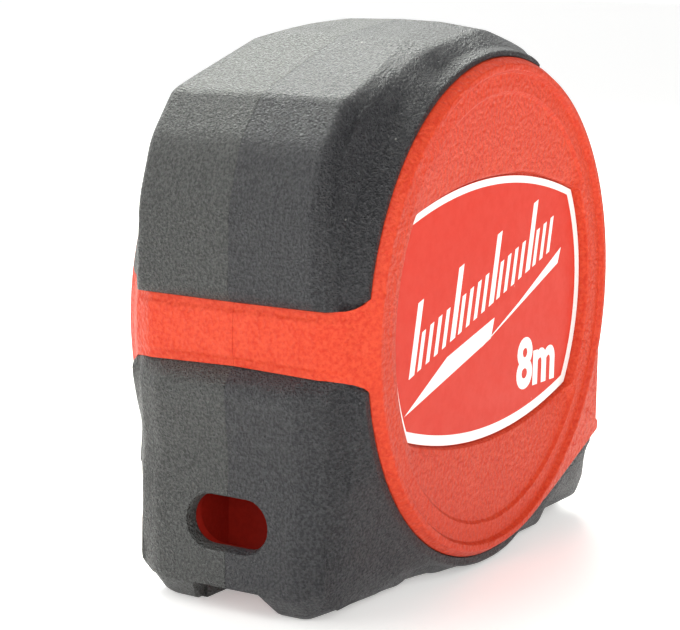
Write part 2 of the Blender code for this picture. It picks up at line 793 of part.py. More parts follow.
def vertical_pin(name, x, y, radius, low, high, material=None):
    """Upright cylinder through the blade at x and y."""
    level = BLADE_TOP + blade_rise(x, y)
    outline = [
        (x + radius * math.cos(math.tau * i / 12), y + radius * math.sin(math.tau * i / 12))
        for i in range(12)
    ]
    return make_object(name, prism(outline, level + low, level + high, axis="z"), material)


def build_rivets():
    """Each rivet is fixed in the blade, and its shank runs in a slot of the hook."""
    under = BLADE_THICKNESS + GAP + HOOK_THICKNESS + GAP
    for i, (x, y) in enumerate(rivet_places(), 1):
        level = BLADE_TOP + blade_rise(x, y)
        shank = RIVET_RADIUS * 0.5
        profile = [
            (level - under - 0.55 * MM, 0.0),
            (level - under - 0.55 * MM, RIVET_RADIUS * 0.8),
            (level - under, RIVET_RADIUS),
            (level - under, shank),
            (level + 0.35 * MM, shank),
            (level + 0.35 * MM, RIVET_RADIUS),
            (level + 0.75 * MM, RIVET_RADIUS * 0.75),
            (level + 0.75 * MM, 0.0),
        ]
        sections = []
        for k in range(14):
            turn = math.tau * k / 14
            sections.append(
                [Vector((x + r * math.cos(turn), y + r * math.sin(turn), z)) for z, r in profile]
            )
        make_object(f"hook_rivet_{i}", skin(sections, around=True), "zinc_steel")


def build_hook():
    """End hook: a cambered plate under the blade and a tab that turns down in front of the nose."""
    top = BLADE_TOP - BLADE_THICKNESS - GAP
    half = HOOK_WIDTH / 2
    back = HOOK_FACE - HOOK_PLATE
    stop = HOOK_FACE + 0.5 * HOOK_THICKNESS
    plate = cambered_strip(back, stop, half, top, HOOK_THICKNESS, along=3)
    hook = make_object("end_hook", plate, "zinc_steel")
    tab_low = -AXIS_HEIGHT + 0.8 * MM
    corner = 2.2 * MM
    across = 8
    outline = [
        (-half, tab_low + corner),
        (-half + corner, tab_low),
        (half - corner, tab_low),
        (half, tab_low + corner),
    ]
    for j in range(across + 1):
        y = half * (1 - 2 * j / across)
        outline.append((y, top - 0.02 * MM + blade_rise(HOOK_FACE, y)))
    tab = prism(outline, HOOK_FACE, HOOK_FACE + HOOK_THICKNESS, axis="x")
    boolean(hook, make_object("cut_hook_tab", tab), "UNION")
    for i, (x, y) in enumerate(rivet_places(), 1):
        radius = RIVET_RADIUS * 0.5 + 0.2 * MM
        level = BLADE_TOP + blade_rise(x, y)
        outline = []
        for end, first in ((1, -90), (-1, 90)):
            for k in range(7):
                turn = math.radians(first + 30 * k)
                shift = HOOK_FLOAT * 0.5 * (end - 1)
                outline.append((x + shift + radius * math.cos(turn), y + radius * math.sin(turn)))
        slot = prism(outline, level - 4 * MM, level + 2 * MM, axis="z")
        boolean(hook, make_object(f"cut_hook_slot_{i}", slot))


# ---------------------------------------------------------------- lock, clip and screws


def build_lock():
    """Thumb lock: ridged button in front, neck through the window, and a carrier behind the wall."""
    half = LOCK_WIDTH / 2
    low, high = LOCK_BUTTON
    face = FRONT_REACH + GAP
    ridges = 4
    outline = [(face, low), (face + 1.4 * MM, low)]
    for i in range(ridges):
        start = low + (high - low - 3.5 * MM) * i / ridges
        step = (high - low - 3.5 * MM) / ridges
        outline.append((face + 2.1 * MM, start + 0.2 * step))
        outline.append((face + 2.1 * MM, start + 0.6 * step))
        outline.append((face + 1.6 * MM, start + 0.8 * step))
    outline += [(face + 3.4 * MM, high - 2.4 * MM), (face + 3.2 * MM, high - 0.8 * MM), (face, high)]
    lock = make_object("lock_slide", prism(outline, -half, half), "black_plastic")
    inner_face = FRONT_REACH - WALL - 0.2 * MM
    behind = inner_face - PLAY
    neck_half = 3.0 * MM
    carrier_half = 5.6 * MM
    foot_low = PAD_TOP + GAP
    neck = box(
        (inner_face - 1.5 * MM, -neck_half, LOCK_NECK[0]),
        (face + 0.8 * MM, neck_half, LOCK_NECK[1]),
    )
    carrier = box(
        (behind - 1.8 * MM, -carrier_half, foot_low),
        (behind, carrier_half, LOCK_NECK[1] + 1.5 * MM),
    )
    foot = box(
        (inner_face - 6.0 * MM, -carrier_half, foot_low),
        (behind - 0.9 * MM, carrier_half, foot_low + 1.9 * MM),
    )
    for word, shape in (("neck", neck), ("carrier", carrier), ("foot", foot)):
        boolean(lock, make_object(f"cut_lock_{word}", shape), "UNION")
    pad = box(
        (inner_face - 5.4 * MM, -PAD_HALF, PAD_TOP - 2.0 * MM),
        (behind - 0.2 * MM, PAD_HALF, PAD_TOP),
    )
    make_object("lock_pad", pad, "black_rubber")


def build_clip():
    """Belt clip: one bent strip, screwed flat over the post, with its free end flared at the bottom."""
    seat = LABEL_FLOOR + GAP
    inner = RIM + CLIP_GAP
    top = 16.4 * MM
    bend = (inner - seat - CLIP_THICKNESS) / 2
    middle = seat + CLIP_THICKNESS + bend
    path = [(seat + CLIP_THICKNESS / 2, -9.0 * MM), (seat + CLIP_THICKNESS / 2, top)]
    for i in range(1, 8):
        turn = math.radians(180 - 180 * i / 8)
        radius = bend + CLIP_THICKNESS / 2
        path.append((middle + radius * math.cos(turn), top + radius * math.sin(turn)))
    arm = inner + CLIP_THICKNESS / 2
    path += [(arm, top), (arm - 1.4 * MM, -16.0 * MM), (arm - 1.8 * MM, -20.0 * MM), (arm, -26.5 * MM)]
    sections = []
    for i, (y, z) in enumerate(path):
        ahead = Vector(path[min(i + 1, len(path) - 1)]) - Vector(path[max(i - 1, 0)])
        normal = Vector((ahead.y, -ahead.x)).normalized() * CLIP_THICKNESS / 2
        half = CLIP_WIDTH / 2
        if i in (0, len(path) - 1):
            half -= 3.0 * MM
        sections.append(
            [
                Vector((sx * half, y + s * normal.x, z + s * normal.y))
                for sx, s in ((-1, -1), (1, -1), (1, 1), (-1, 1))
            ]
        )
    clip = make_object("belt_clip", skin(sections, ring=True), "zinc_steel")
    hole = [(seat - 1.0 * MM, CLIP_SCREW + 0.2 * MM), (seat + 1.6 * MM, CLIP_SCREW + 0.2 * MM)]
    boolean(clip, make_object("cut_clip_hole", lathe(hole, count=24)))
    seat_face = seat + CLIP_THICKNESS + GAP
    length = seat_face - REEL_SPACE + 10.0 * MM
    screw("clip_screw", (0.0, 0.0), seat_face, CLIP_SCREW, 2 * CLIP_SCREW, length)


def screw(name, center, seat, shank, head, length):
    """Pan-head screw along y, whose head's under face is at seat, with a cross-shaped drive."""
    rise = 0.9 * head
    profile = [
        (seat - length, 0.0),
        (seat - length, shank * 0.6),
        (seat - length + 1.0 * MM, shank),
        (seat, shank),
        (seat, head),
        (seat + 0.5 * rise, head),
        (seat + rise, 0.6 * head),
        (seat + rise, 0.0),
    ]
    made = make_object(name, lathe(profile, center, 20), "zinc_steel")
    arm, slot = 0.62 * head, 0.14 * head
    x, z = center
    cross = [
        (arm, slot), (slot, slot), (slot, arm), (-slot, arm), (-slot, slot), (-arm, slot),
        (-arm, -slot), (-slot, -slot), (-slot, -arm), (slot, -arm), (slot, -slot), (arm, -slot),
    ]
    drive = prism([(x + a, z + b) for a, b in cross], seat + 0.45 * rise, seat + rise + 1.0 * MM)
    boolean(made, make_object(f"cut_{name}_drive", drive))


def build_case_screws():
    for i, center in enumerate(screw_places(), 1):
        screw(f"case_screw_{i}", center, SCREW_SEAT, SCREW_RADIUS, SCREW_HEAD, SCREW_SEAT + 8.0 * MM)


# ---------------------------------------------------------------- the model

for leftover in list(bpy.data.objects):
    bpy.data.objects.remove(leftover)

UPPER = upper_outline()
LOWER = lower_outline()
FRONT = front_outline()
NOSE_EDGE = nose_edge()

case_frame = bpy.data.objects.new("case_frame", None)
bpy.context.scene.collection.objects.link(case_frame)
clip_reach = RIM + CLIP_GAP + CLIP_THICKNESS
lock_reach = FRONT_REACH + GAP + 3.4 * MM
back_reach = -min(point.x for point in LOWER)
case_frame.location = (
    round((back_reach - lock_reach) / 2, 4),
    round((RIM - clip_reach) / 2, 4),
    AXIS_HEIGHT,
)

for word, side in SIDES.items():
    build_shell(word, side)
build_bumpers()
build_label()
build_post()
build_reel()
build_mainspring()
build_blade()
build_rivets()
build_hook()
build_lock()
build_clip()
build_case_screws()
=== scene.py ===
"""Looks of a pocket tape measure with an 8 m blade, built around its packed working model.

Sizes are in metres and +Z is up. +X points out of the mouth, and the labelled side faces -Y.
Pieces are shaped around the reel's axis: x forward, y along the axis from the parting seam, z up.
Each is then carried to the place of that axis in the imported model. Angles turn from +X towards +Z.
"""

from __future__ import annotations

import json
import logging
import math
from dataclasses import dataclass, field
from enum import Enum
from typing import Callable, Iterable, Sequence

import bmesh
import bpy
from mathutils import Matrix, Vector

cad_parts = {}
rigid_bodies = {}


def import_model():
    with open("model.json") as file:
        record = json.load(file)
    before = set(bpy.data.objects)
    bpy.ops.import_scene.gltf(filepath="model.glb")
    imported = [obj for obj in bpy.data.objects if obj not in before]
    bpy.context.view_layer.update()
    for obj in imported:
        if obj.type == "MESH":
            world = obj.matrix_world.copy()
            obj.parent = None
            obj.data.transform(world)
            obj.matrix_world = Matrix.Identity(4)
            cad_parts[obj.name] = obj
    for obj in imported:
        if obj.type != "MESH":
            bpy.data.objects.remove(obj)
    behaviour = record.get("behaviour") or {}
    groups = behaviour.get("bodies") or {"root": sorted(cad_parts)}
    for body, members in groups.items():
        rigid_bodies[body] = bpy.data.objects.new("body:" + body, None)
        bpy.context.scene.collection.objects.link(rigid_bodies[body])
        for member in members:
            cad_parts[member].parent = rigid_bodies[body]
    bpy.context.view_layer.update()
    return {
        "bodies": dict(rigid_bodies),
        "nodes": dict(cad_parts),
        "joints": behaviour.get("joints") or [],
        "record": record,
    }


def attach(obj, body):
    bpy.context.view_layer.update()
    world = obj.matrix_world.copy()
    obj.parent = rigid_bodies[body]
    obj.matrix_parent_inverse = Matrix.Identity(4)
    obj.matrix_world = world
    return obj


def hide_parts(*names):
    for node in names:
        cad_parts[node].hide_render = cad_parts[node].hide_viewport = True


LOG = logging.getLogger("tape_measure")
MM = 0.001
HOOK_FACE = 41.0 * MM  # the blade's zero, from the reel's axis

Point = tuple[float, float]
Corner = tuple[float, float, float]
Color = tuple[float, float, float]


class Half(Enum):
    """The two halves of the case, by the side of the seam that they lie on."""

    RIGHT = -1
    LEFT = 1

    @property
    def word(self) -> str:
        """The half's name as the model's nodes spell it."""
        return self.name.lower()


# ---------------------------------------------------------------- mesh helpers


def fillet(corners: Sequence[Corner], steps: int = 4) -> list[Vector]:
    """Rounds the inner corners of an open path.

    Args:
        corners: Points as (u, v, radius); the first and last radius are not used.
        steps: Spans on each rounded corner, so that every path of one kind has as many points.

    Returns:
        The path's points.
    """
    path = [Vector(corners[0][:2])]
    for before, corner, after in zip(corners, corners[1:], corners[2:]):
        middle = Vector(corner[:2])
        back = Vector(before[:2]) - middle
        ahead = Vector(after[:2]) - middle
        if min(back.length, ahead.length) < 1e-7:
            path += [middle] * (steps + 1)
            continue
        half = max(back.angle(ahead) / 2, 0.05)
        length = min(
            corner[2] / math.tan(half) if half < 1.57 else 0.0, 0.48 * back.length, 0.48 * ahead.length
        )
        start = middle + back.normalized() * length
        end = middle + ahead.normalized() * length
        for i in range(steps + 1):
            t = i / steps
            path.append((1 - t) ** 2 * start + 2 * t * (1 - t) * middle + t * t * end)
    path.append(Vector(corners[-1][:2]))
    return path


def skin(sections: Sequence[Sequence[Vector]], around: bool = False, ring: bool = False) -> bmesh.types.BMesh:
    """Spans equal sections with quads and closes the ends.

    Args:
        sections: Rows with the same number of points.
        around: Whether the last section joins the first.
        ring: Whether each section's last point joins its first.

    Returns:
        A closed bmesh.
    """
    bm = bmesh.new()
    grid = [[bm.verts.new(point) for point in section] for section in sections]
    count = len(grid[0])
    pairs = list(zip(grid, grid[1:]))
    if around:
        pairs.append((grid[-1], grid[0]))
    for first, second in pairs:
        for j in range(count if ring else count - 1):
            k = (j + 1) % count
            bm.faces.new((first[j], first[k], second[k], second[j]))
    if around and not ring:
        bm.faces.new([row[0] for row in grid])
        bm.faces.new([row[-1] for row in grid])
    if ring and not around:
        bm.faces.new(grid[0])
        bm.faces.new(grid[-1])
    return bm


def prism(outline: Sequence[Point], low: float, high: float, axis: str = "y") -> bmesh.types.BMesh:
    """Carries an outline along one axis.

    Args:
        outline: The two other coordinates of each point, in the order x, y, z.
        low: Start along the axis.
        high: End along the axis.
        axis: Which axis the outline is carried along.

    Returns:
        A closed bmesh.
    """
    rows = []
    for at in (low, high):
        if axis == "y":
            rows.append([Vector((u, at, w)) for u, w in outline])
        elif axis == "x":
            rows.append([Vector((at, u, w)) for u, w in outline])
        else:
            rows.append([Vector((u, w, at)) for u, w in outline])
    return skin(rows, ring=True)


def block(low: Sequence[float], high: Sequence[float]) -> bmesh.types.BMesh:
    """A closed box between two corners, for cutting with."""
    outline = [(low[0], low[2]), (high[0], low[2]), (high[0], high[2]), (low[0], high[2])]
    return prism(outline, low[1], high[1])


def lathe(profile: Sequence[Point], center: Point = (0.0, 0.0), count: int = 96) -> bmesh.types.BMesh:
    """Turns a profile about a line along y.

    Args:
        profile: Points as (y, radius), from one end to the other.
        center: The line's x and z.
        count: Spans around.

    Returns:
        A closed bmesh.
    """
    sections = []
    for i in range(count):
        turn = math.tau * i / count
        across = Vector((math.cos(turn), 0.0, math.sin(turn)))
        sections.append([Vector((center[0], y, center[1])) + across * r for y, r in profile])
    return skin(sections, around=True)


def shade(mesh: bpy.types.Mesh, angle: float = 32.0) -> None:
    """Smooth shading with sharp edges where faces meet at more than the angle, in degrees."""
    mesh.shade_smooth()
    mesh.set_sharp_from_angle(angle=math.radians(angle))


def smooth(value: float, low: float, high: float) -> float:
    """Rises gently from 0 at low to 1 at high; low may be the greater."""
    t = min(1.0, max(0.0, (value - low) / (high - low)))
    return t * t * (3 - 2 * t)


def angle_of(point: Sequence[float]) -> float:
    """Angle of a point about the reel's axis, from 0 to 360 degrees."""
    return math.degrees(math.atan2(point[1], point[0])) % 360


def reach_at(path: Sequence[Vector], angle: float) -> float:
    """How far a ray goes from the reel's axis to a path.

    Args:
        path: Points in x and z.
        angle: The ray's direction in degrees.

    Returns:
        The distance, on the nearest span where the ray misses the path.
    """
    ray = Vector((math.cos(math.radians(angle)), math.sin(math.radians(angle))))
    best = (math.inf, 0.0)
    for a, b in zip(path, path[1:]):
        along = b - a
        cross = ray.x * along.y - ray.y * along.x
        if abs(cross) < 1e-12:
            continue
        reach = (a.x * along.y - a.y * along.x) / cross
        t = (a.x * ray.y - a.y * ray.x) / cross
        miss = max(0.0, -t, t - 1)
        if reach > 0 and miss < best[0]:
            best = (miss, reach)
    return best[1]


class Workshop:
    """Turns meshes laid out around the reel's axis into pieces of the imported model."""

    def __init__(self, frame: dict) -> None:
        """Reads where the reel's axis lies.
        """
        self.frame = frame
        spin = next(joint for joint in frame["joints"] if joint["name"] == "reel_spin")
        self.axis = Vector(spin["pos_m"])

    def piece(self, name: str, bm: bmesh.types.BMesh, angle: float = 32.0) -> bpy.types.Object:
        """Makes a named object in its place.

        Args:
            name: The object's name.
            bm: Its mesh, around the reel's axis; it is used up.
            angle: Widest angle that is still shaded smooth.

        Returns:
            The new object, with its place in its mesh.
        """
        bmesh.ops.remove_doubles(bm, verts=bm.verts, dist=2e-7)
        bmesh.ops.dissolve_degenerate(bm, edges=bm.edges, dist=2e-7)
        bmesh.ops.recalc_face_normals(bm, faces=bm.faces)
        bmesh.ops.translate(bm, verts=bm.verts, vec=self.axis)
        mesh = bpy.data.meshes.new(name)
        bm.to_mesh(mesh)
        bm.free()
        shade(mesh, angle)
        made = bpy.data.objects.new(name, mesh)
        bpy.context.scene.collection.objects.link(made)
        return made

    def apply(self, target: bpy.types.Object, angle: float = 32.0) -> None:
        """Bakes the piece's modifiers into its mesh.

        Args:
            target: The piece.
            angle: Widest angle that is still shaded smooth.
        """
        graph = bpy.context.evaluated_depsgraph_get()
        mesh = bpy.data.meshes.new_from_object(target.evaluated_get(graph))
        old = target.data
        target.modifiers.clear()
        target.data = mesh
        mesh.name = target.name
        bpy.data.meshes.remove(old)
        shade(mesh, angle)

    def cut(
        self, target: bpy.types.Object, cutters: Iterable[bmesh.types.BMesh], operation: str = "DIFFERENCE"
    ) -> None:
        """Cuts shapes from a piece, or joins them to it.

        Args:
            target: The piece.
            cutters: Closed meshes around the reel's axis; they are used up.
            operation: The Boolean's operation.
        """
        for bm in cutters:
            cutter = self.piece("cutter", bm)
            modifier = target.modifiers.new("shape", "BOOLEAN")
            modifier.solver = "MANIFOLD"
            modifier.operation = operation
            modifier.object = cutter
            self.apply(target)
            mesh = cutter.data
            bpy.data.objects.remove(cutter)
            bpy.data.meshes.remove(mesh)

    def join(self, name: str, parts: Sequence[bpy.types.Object]) -> bpy.types.Object:
        """Joins several objects into one.

        Args:
            name: The joined object's name.
            parts: The objects, which are used up.

        Returns:
            The joined object.
        """
        bm = bmesh.new()
        for part in parts:
            bm.from_mesh(part.data)
        mesh = bpy.data.meshes.new(name)
        bm.to_mesh(mesh)
        bm.free()
        for part in parts:
            old = part.data
            bpy.data.objects.remove(part)
            bpy.data.meshes.remove(old)
        made = bpy.data.objects.new(name, mesh)
        bpy.context.scene.collection.objects.link(made)
        return made


# ---------------------------------------------------------------- finishes


class Wiring:
    """Adds nodes to one tree and joins them."""

    def __init__(self, tree: bpy.types.NodeTree) -> None:
        """Keeps the tree that the nodes go into."""
        self.tree = tree

    def add(self, kind: str, feeds: dict | None = None, **settings: object) -> bpy.types.Node:
        """Adds a node.

        Args:
            kind: The node's type.
            feeds: Input names or numbers, each with a value or with a socket to link.
            **settings: The node's own properties.

        Returns:
            The new node.
        """
        node = self.tree.nodes.new(kind)
        for key, value in settings.items():
            setattr(node, key, value)
        for key, value in (feeds or {}).items():
            if isinstance(value, bpy.types.NodeSocket):
                self.tree.links.new(value, node.inputs[key])
            else:
                node.inputs[key].default_value = value
        return node

    def math(self, operation: str, *values: object) -> bpy.types.NodeSocket:
        """Adds a Math node and returns its result."""
        return self.add("ShaderNodeMath", dict(enumerate(values)), operation=operation).outputs[0]

    def span(self, value: object, low: float, high: float, to_low: float = 0.0, to_high: float = 1.0):
        """Maps a value from one range to another, held within it.

        Args:
            value: The socket to map.
            low: Start of the range.
            high: End of the range.
            to_low: What low becomes.
            to_high: What high becomes.

        Returns:
            The mapped socket.
        """
        feeds = {"Value": value, "From Min": low, "From Max": high, "To Min": to_low, "To Max": to_high}
        return self.add("ShaderNodeMapRange", feeds).outputs[0]

    def mix(self, factor: object, first: object, second: object) -> bpy.types.NodeSocket:
        """Mixes two colours.

        Args:
            factor: Share of the second colour.
            first: A colour or a socket.
            second: A colour or a socket.

        Returns:
            The mixed colour.
        """
        feeds = {0: factor, 6: first, 7: second}
        return self.add("ShaderNodeMix", feeds, data_type="RGBA").outputs[2]


def rgba(color: Color) -> tuple[float, float, float, float]:
    """A colour with full alpha."""
    return (*color, 1.0)


class EffectGroup:
    """A shader node group with named inputs and outputs, built once and used by many materials."""

    def __init__(self, name: str, inputs: dict[str, float], outputs: Sequence[str]) -> None:
        """Makes the group's sockets.

        Args:
            name: The group's name.
            inputs: Input names with their usual values.
            outputs: Output names, all plain values.
        """
        self.tree = bpy.data.node_groups.new(name, "ShaderNodeTree")
        for label, value in inputs.items():
            socket = self.tree.interface.new_socket(label, in_out="INPUT", socket_type="NodeSocketFloat")
            socket.default_value = value
        for label in outputs:
            self.tree.interface.new_socket(label, in_out="OUTPUT", socket_type="NodeSocketFloat")
        self.wiring = Wiring(self.tree)
        self.given = self.wiring.add("NodeGroupInput").outputs
        self.place = self.wiring.add("ShaderNodeTexCoord").outputs["Object"]

    def give(self, **values: bpy.types.NodeSocket) -> None:
        """Links the group's outputs, by name with spaces as underscores."""
        out = self.wiring.add("NodeGroupOutput")
        for label, value in values.items():
            self.tree.links.new(value, out.inputs[label.replace("_", " ")])


def spark_grain() -> bpy.types.NodeTree:
    """Fine even grain of a spark-eroded mould, with slow mottling of the plastic."""
    group = EffectGroup("spark_grain", {"Scale": 1500.0}, ("Height", "Mottle"))
    w = group.wiring
    fine = w.add(
        "ShaderNodeTexNoise",
        {"Vector": group.place, "Scale": group.given["Scale"], "Detail": 3.0, "Roughness": 0.6},
    )
    cells = w.add(
        "ShaderNodeTexVoronoi",
        {"Vector": group.place, "Scale": w.math("MULTIPLY", group.given["Scale"], 0.8)},
        feature="SMOOTH_F1",
    )
    slow = w.add("ShaderNodeTexNoise", {"Vector": group.place, "Scale": 90.0, "Detail": 4.0})
    height = w.math(
        "ADD", w.math("MULTIPLY", fine.outputs[0], 0.7), w.math("MULTIPLY", cells.outputs[0], 0.5)
    )
    speck = w.span(fine.outputs[0], 0.36, 0.64)
    slow_part = w.math("MULTIPLY", w.span(slow.outputs[0], 0.3, 0.7), 0.1)
    group.give(Height=height, Mottle=w.math("ADD", slow_part, w.math("MULTIPLY", speck, 0.9)))
    return group.tree


def leather_grain() -> bpy.types.NodeTree:
    """Pebbled grain of moulded rubber: rounded islands parted by thin wandering creases."""
    group = EffectGroup("leather_grain", {"Scale": 1100.0}, ("Height", "Crease"))
    w = group.wiring
    bend = w.add("ShaderNodeTexNoise", {"Vector": group.place, "Scale": group.given["Scale"], "Detail": 2.0})
    offset = w.add(
        "ShaderNodeVectorMath", {0: bend.outputs["Color"], 1: (0.0006, 0.0006, 0.0006)}, operation="MULTIPLY"
    )
    moved = w.add("ShaderNodeVectorMath", {0: group.place, 1: offset.outputs[0]}, operation="ADD")
    cells = w.add(
        "ShaderNodeTexVoronoi",
        {"Vector": moved.outputs[0], "Scale": group.given["Scale"]},
        feature="DISTANCE_TO_EDGE",
    )
    pebble = w.span(cells.outputs[0], 0.0, 0.35)
    fine = w.add(
        "ShaderNodeTexNoise",
        {"Vector": group.place, "Scale": w.math("MULTIPLY", group.given["Scale"], 1.1), "Detail": 2.0},
    )
    height = w.math("ADD", w.math("MULTIPLY", pebble, 0.7), w.math("MULTIPLY", fine.outputs[0], 1.6))
    lumps = w.span(fine.outputs[0], 0.38, 0.62)
    group.give(
        Height=height,
        Crease=w.math("SUBTRACT", 1.0, w.math("MULTIPLY", w.span(pebble, 0.0, 1.0, 0.55, 1.0), lumps)),
    )
    return group.tree


def edge_wear() -> bpy.types.NodeTree:
    """Worn outer edges, broken up by noise."""
    group = EffectGroup("edge_wear", {"Amount": 0.5, "Scale": 420.0}, ("Mask",))
    w = group.wiring
    point = w.add("ShaderNodeNewGeometry").outputs["Pointiness"]
    noise = w.add("ShaderNodeTexNoise", {"Vector": group.place, "Scale": group.given["Scale"], "Detail": 4.0})
    raised = w.span(point, 0.505, 0.56)
    mask = w.math(
        "MULTIPLY", w.math("MULTIPLY", raised, w.span(noise.outputs[0], 0.4, 0.62)), group.given["Amount"]
    )
    group.give(Mask=mask)
    return group.tree


def fine_dust() -> bpy.types.NodeTree:
    """Sparse pale flecks and a thin film in patches."""
    group = EffectGroup("fine_dust", {"Scale": 420.0, "Amount": 1.0}, ("Fleck", "Film"))
    w = group.wiring
    cells = w.add(
        "ShaderNodeTexVoronoi", {"Vector": group.place, "Scale": group.given["Scale"], "Randomness": 1.0}
    )
    chosen = w.span(w.add("ShaderNodeSeparateColor", {0: cells.outputs["Color"]}).outputs[0], 0.93, 0.94)
    dot = w.span(cells.outputs["Distance"], 0.09, 0.05)
    film = w.add(
        "ShaderNodeTexNoise", {"Vector": group.place, "Scale": 160.0, "Detail": 6.0, "Roughness": 0.65}
    )
    fleck = w.math("MULTIPLY", w.math("MULTIPLY", chosen, dot), group.given["Amount"])
    group.give(Fleck=fleck, Film=w.math("MULTIPLY", w.span(film.outputs[0], 0.5, 0.8), group.given["Amount"]))
    return group.tree


def drawn_metal() -> bpy.types.NodeTree:
    """Long fine lines along x, as rolling leaves on strip metal, and small scuffs."""
    group = EffectGroup("drawn_metal", {"Scale": 900.0}, ("Height", "Scuff"))
    w = group.wiring
    stretched = w.add("ShaderNodeVectorMath", {0: group.place, 1: (0.06, 1.0, 1.0)}, operation="MULTIPLY")
    lines = w.add(
        "ShaderNodeTexNoise", {"Vector": stretched.outputs[0], "Scale": group.given["Scale"], "Detail": 4.0}
    )
    scuff = w.add("ShaderNodeTexNoise", {"Vector": group.place, "Scale": 300.0, "Detail": 5.0})
    group.give(Height=lines.outputs[0], Scuff=w.span(scuff.outputs[0], 0.48, 0.66))
    return group.tree


class Grain(Enum):
    """Surface textures that a finish can have, by the name of their node group."""

    SPARK = "spark_grain"
    LEATHER = "leather_grain"
    DRAWN = "drawn_metal"


@dataclass(frozen=True)
class Finish:
    """One plastic, rubber, print or metal, with its colour variation, texture and wear."""

    name: str
    color: Color
    shade: Color
    worn: Color
    grain: Grain = Grain.SPARK
    grain_scale: float = 1500.0
    bump: float = 0.4
    relief: float = 0.06 * MM
    roughness: float = 0.5
    rough_spread: float = 0.12
    metallic: float = 0.0
    specular: float = 0.5
    coat: float = 0.0
    coat_roughness: float = 0.2
    wear: float = 0.4
    dust: float = 0.4
    mottle: float = 0.5

    ink: Color = (0.02, 0.02, 0.02)

    def tint(self, w: Wiring, place: bpy.types.NodeSocket) -> bpy.types.NodeSocket | None:
        """A print over the plain colour as a mask of 0 to 1; the plain finish has none."""
        return None

    def material(self, groups: dict[str, bpy.types.NodeTree]) -> bpy.types.Material:
        """Builds the material.

        Args:
            groups: The shared effect groups by name.

        Returns:
            The finished material.
        """
        material = bpy.data.materials.new(self.name)
        material.use_nodes = True
        tree = material.node_tree
        shader = tree.nodes["Principled BSDF"]
        w = Wiring(tree)
        grain = w.add("ShaderNodeGroup", node_tree=groups[self.grain.value])
        grain.inputs["Scale"].default_value = self.grain_scale
        wear = w.add("ShaderNodeGroup", node_tree=groups["edge_wear"])
        wear.inputs["Amount"].default_value = self.wear
        dust = w.add("ShaderNodeGroup", node_tree=groups["fine_dust"])
        dust.inputs["Amount"].default_value = self.dust
        color = w.mix(w.math("MULTIPLY", grain.outputs[1], self.mottle), rgba(self.color), rgba(self.shade))
        place = w.add("ShaderNodeTexCoord").outputs["Object"]
        print_mask = self.tint(w, place)
        if print_mask is not None:
            color = w.mix(print_mask, color, rgba(self.ink))
        color = w.mix(wear.outputs["Mask"], color, rgba(self.worn))
        flecked = w.math("MAXIMUM", dust.outputs["Fleck"], w.math("MULTIPLY", dust.outputs["Film"], 0.006))
        color = w.mix(flecked, color, (0.62, 0.6, 0.56, 1.0))
        tree.links.new(color, shader.inputs["Base Color"])
        low, high = self.roughness - self.rough_spread, self.roughness + self.rough_spread
        rough = w.span(
            w.math("ADD", grain.outputs[1], w.math("MULTIPLY", dust.outputs["Film"], 0.04)),
            0.0,
            1.1,
            low,
            high,
        )
        tree.links.new(rough, shader.inputs["Roughness"])
        shader.inputs["Metallic"].default_value = self.metallic
        shader.inputs["Specular IOR Level"].default_value = self.specular
        shader.inputs["Coat Weight"].default_value = self.coat
        shader.inputs["Coat Roughness"].default_value = self.coat_roughness
        feeds = {"Strength": self.bump, "Distance": self.relief, "Height": grain.outputs[0]}
        tree.links.new(w.add("ShaderNodeBump", feeds).outputs[0], shader.inputs["Normal"])
        return material


@dataclass(frozen=True)
class BladeFinish(Finish):
    """Lacquered blade with millimetre, five and ten millimetre marks along both edges."""

    start: float = 0.0
    middle: float = 0.0
    half_width: float = 12.5 * MM
    ink: Color = (0.015, 0.015, 0.018)

    def tint(self, w: Wiring, place: bpy.types.NodeSocket) -> bpy.types.NodeSocket:
        """Marks whose length depends on which millimetre they stand on."""
        split = w.add("ShaderNodeSeparateXYZ", {0: place})
        along = w.math("MULTIPLY", w.math("SUBTRACT", self.start, split.outputs[0]), 1000.0)
        depth = w.math(
            "SUBTRACT", self.half_width, w.math("ABSOLUTE", w.math("SUBTRACT", split.outputs[1], self.middle))
        )
        mask: bpy.types.NodeSocket | None = None
        for step, length, width in ((1.0, 3.2, 0.16), (5.0, 5.0, 0.2), (10.0, 8.5, 0.24)):
            apart = w.math("ABSOLUTE", w.math("WRAP", along, step / 2, -step / 2))
            line = w.math("LESS_THAN", apart, width / 2)
            marks = w.math("MULTIPLY", line, w.math("LESS_THAN", depth, length * MM))
            mask = marks if mask is None else w.math("MAXIMUM", mask, marks)
        return mask


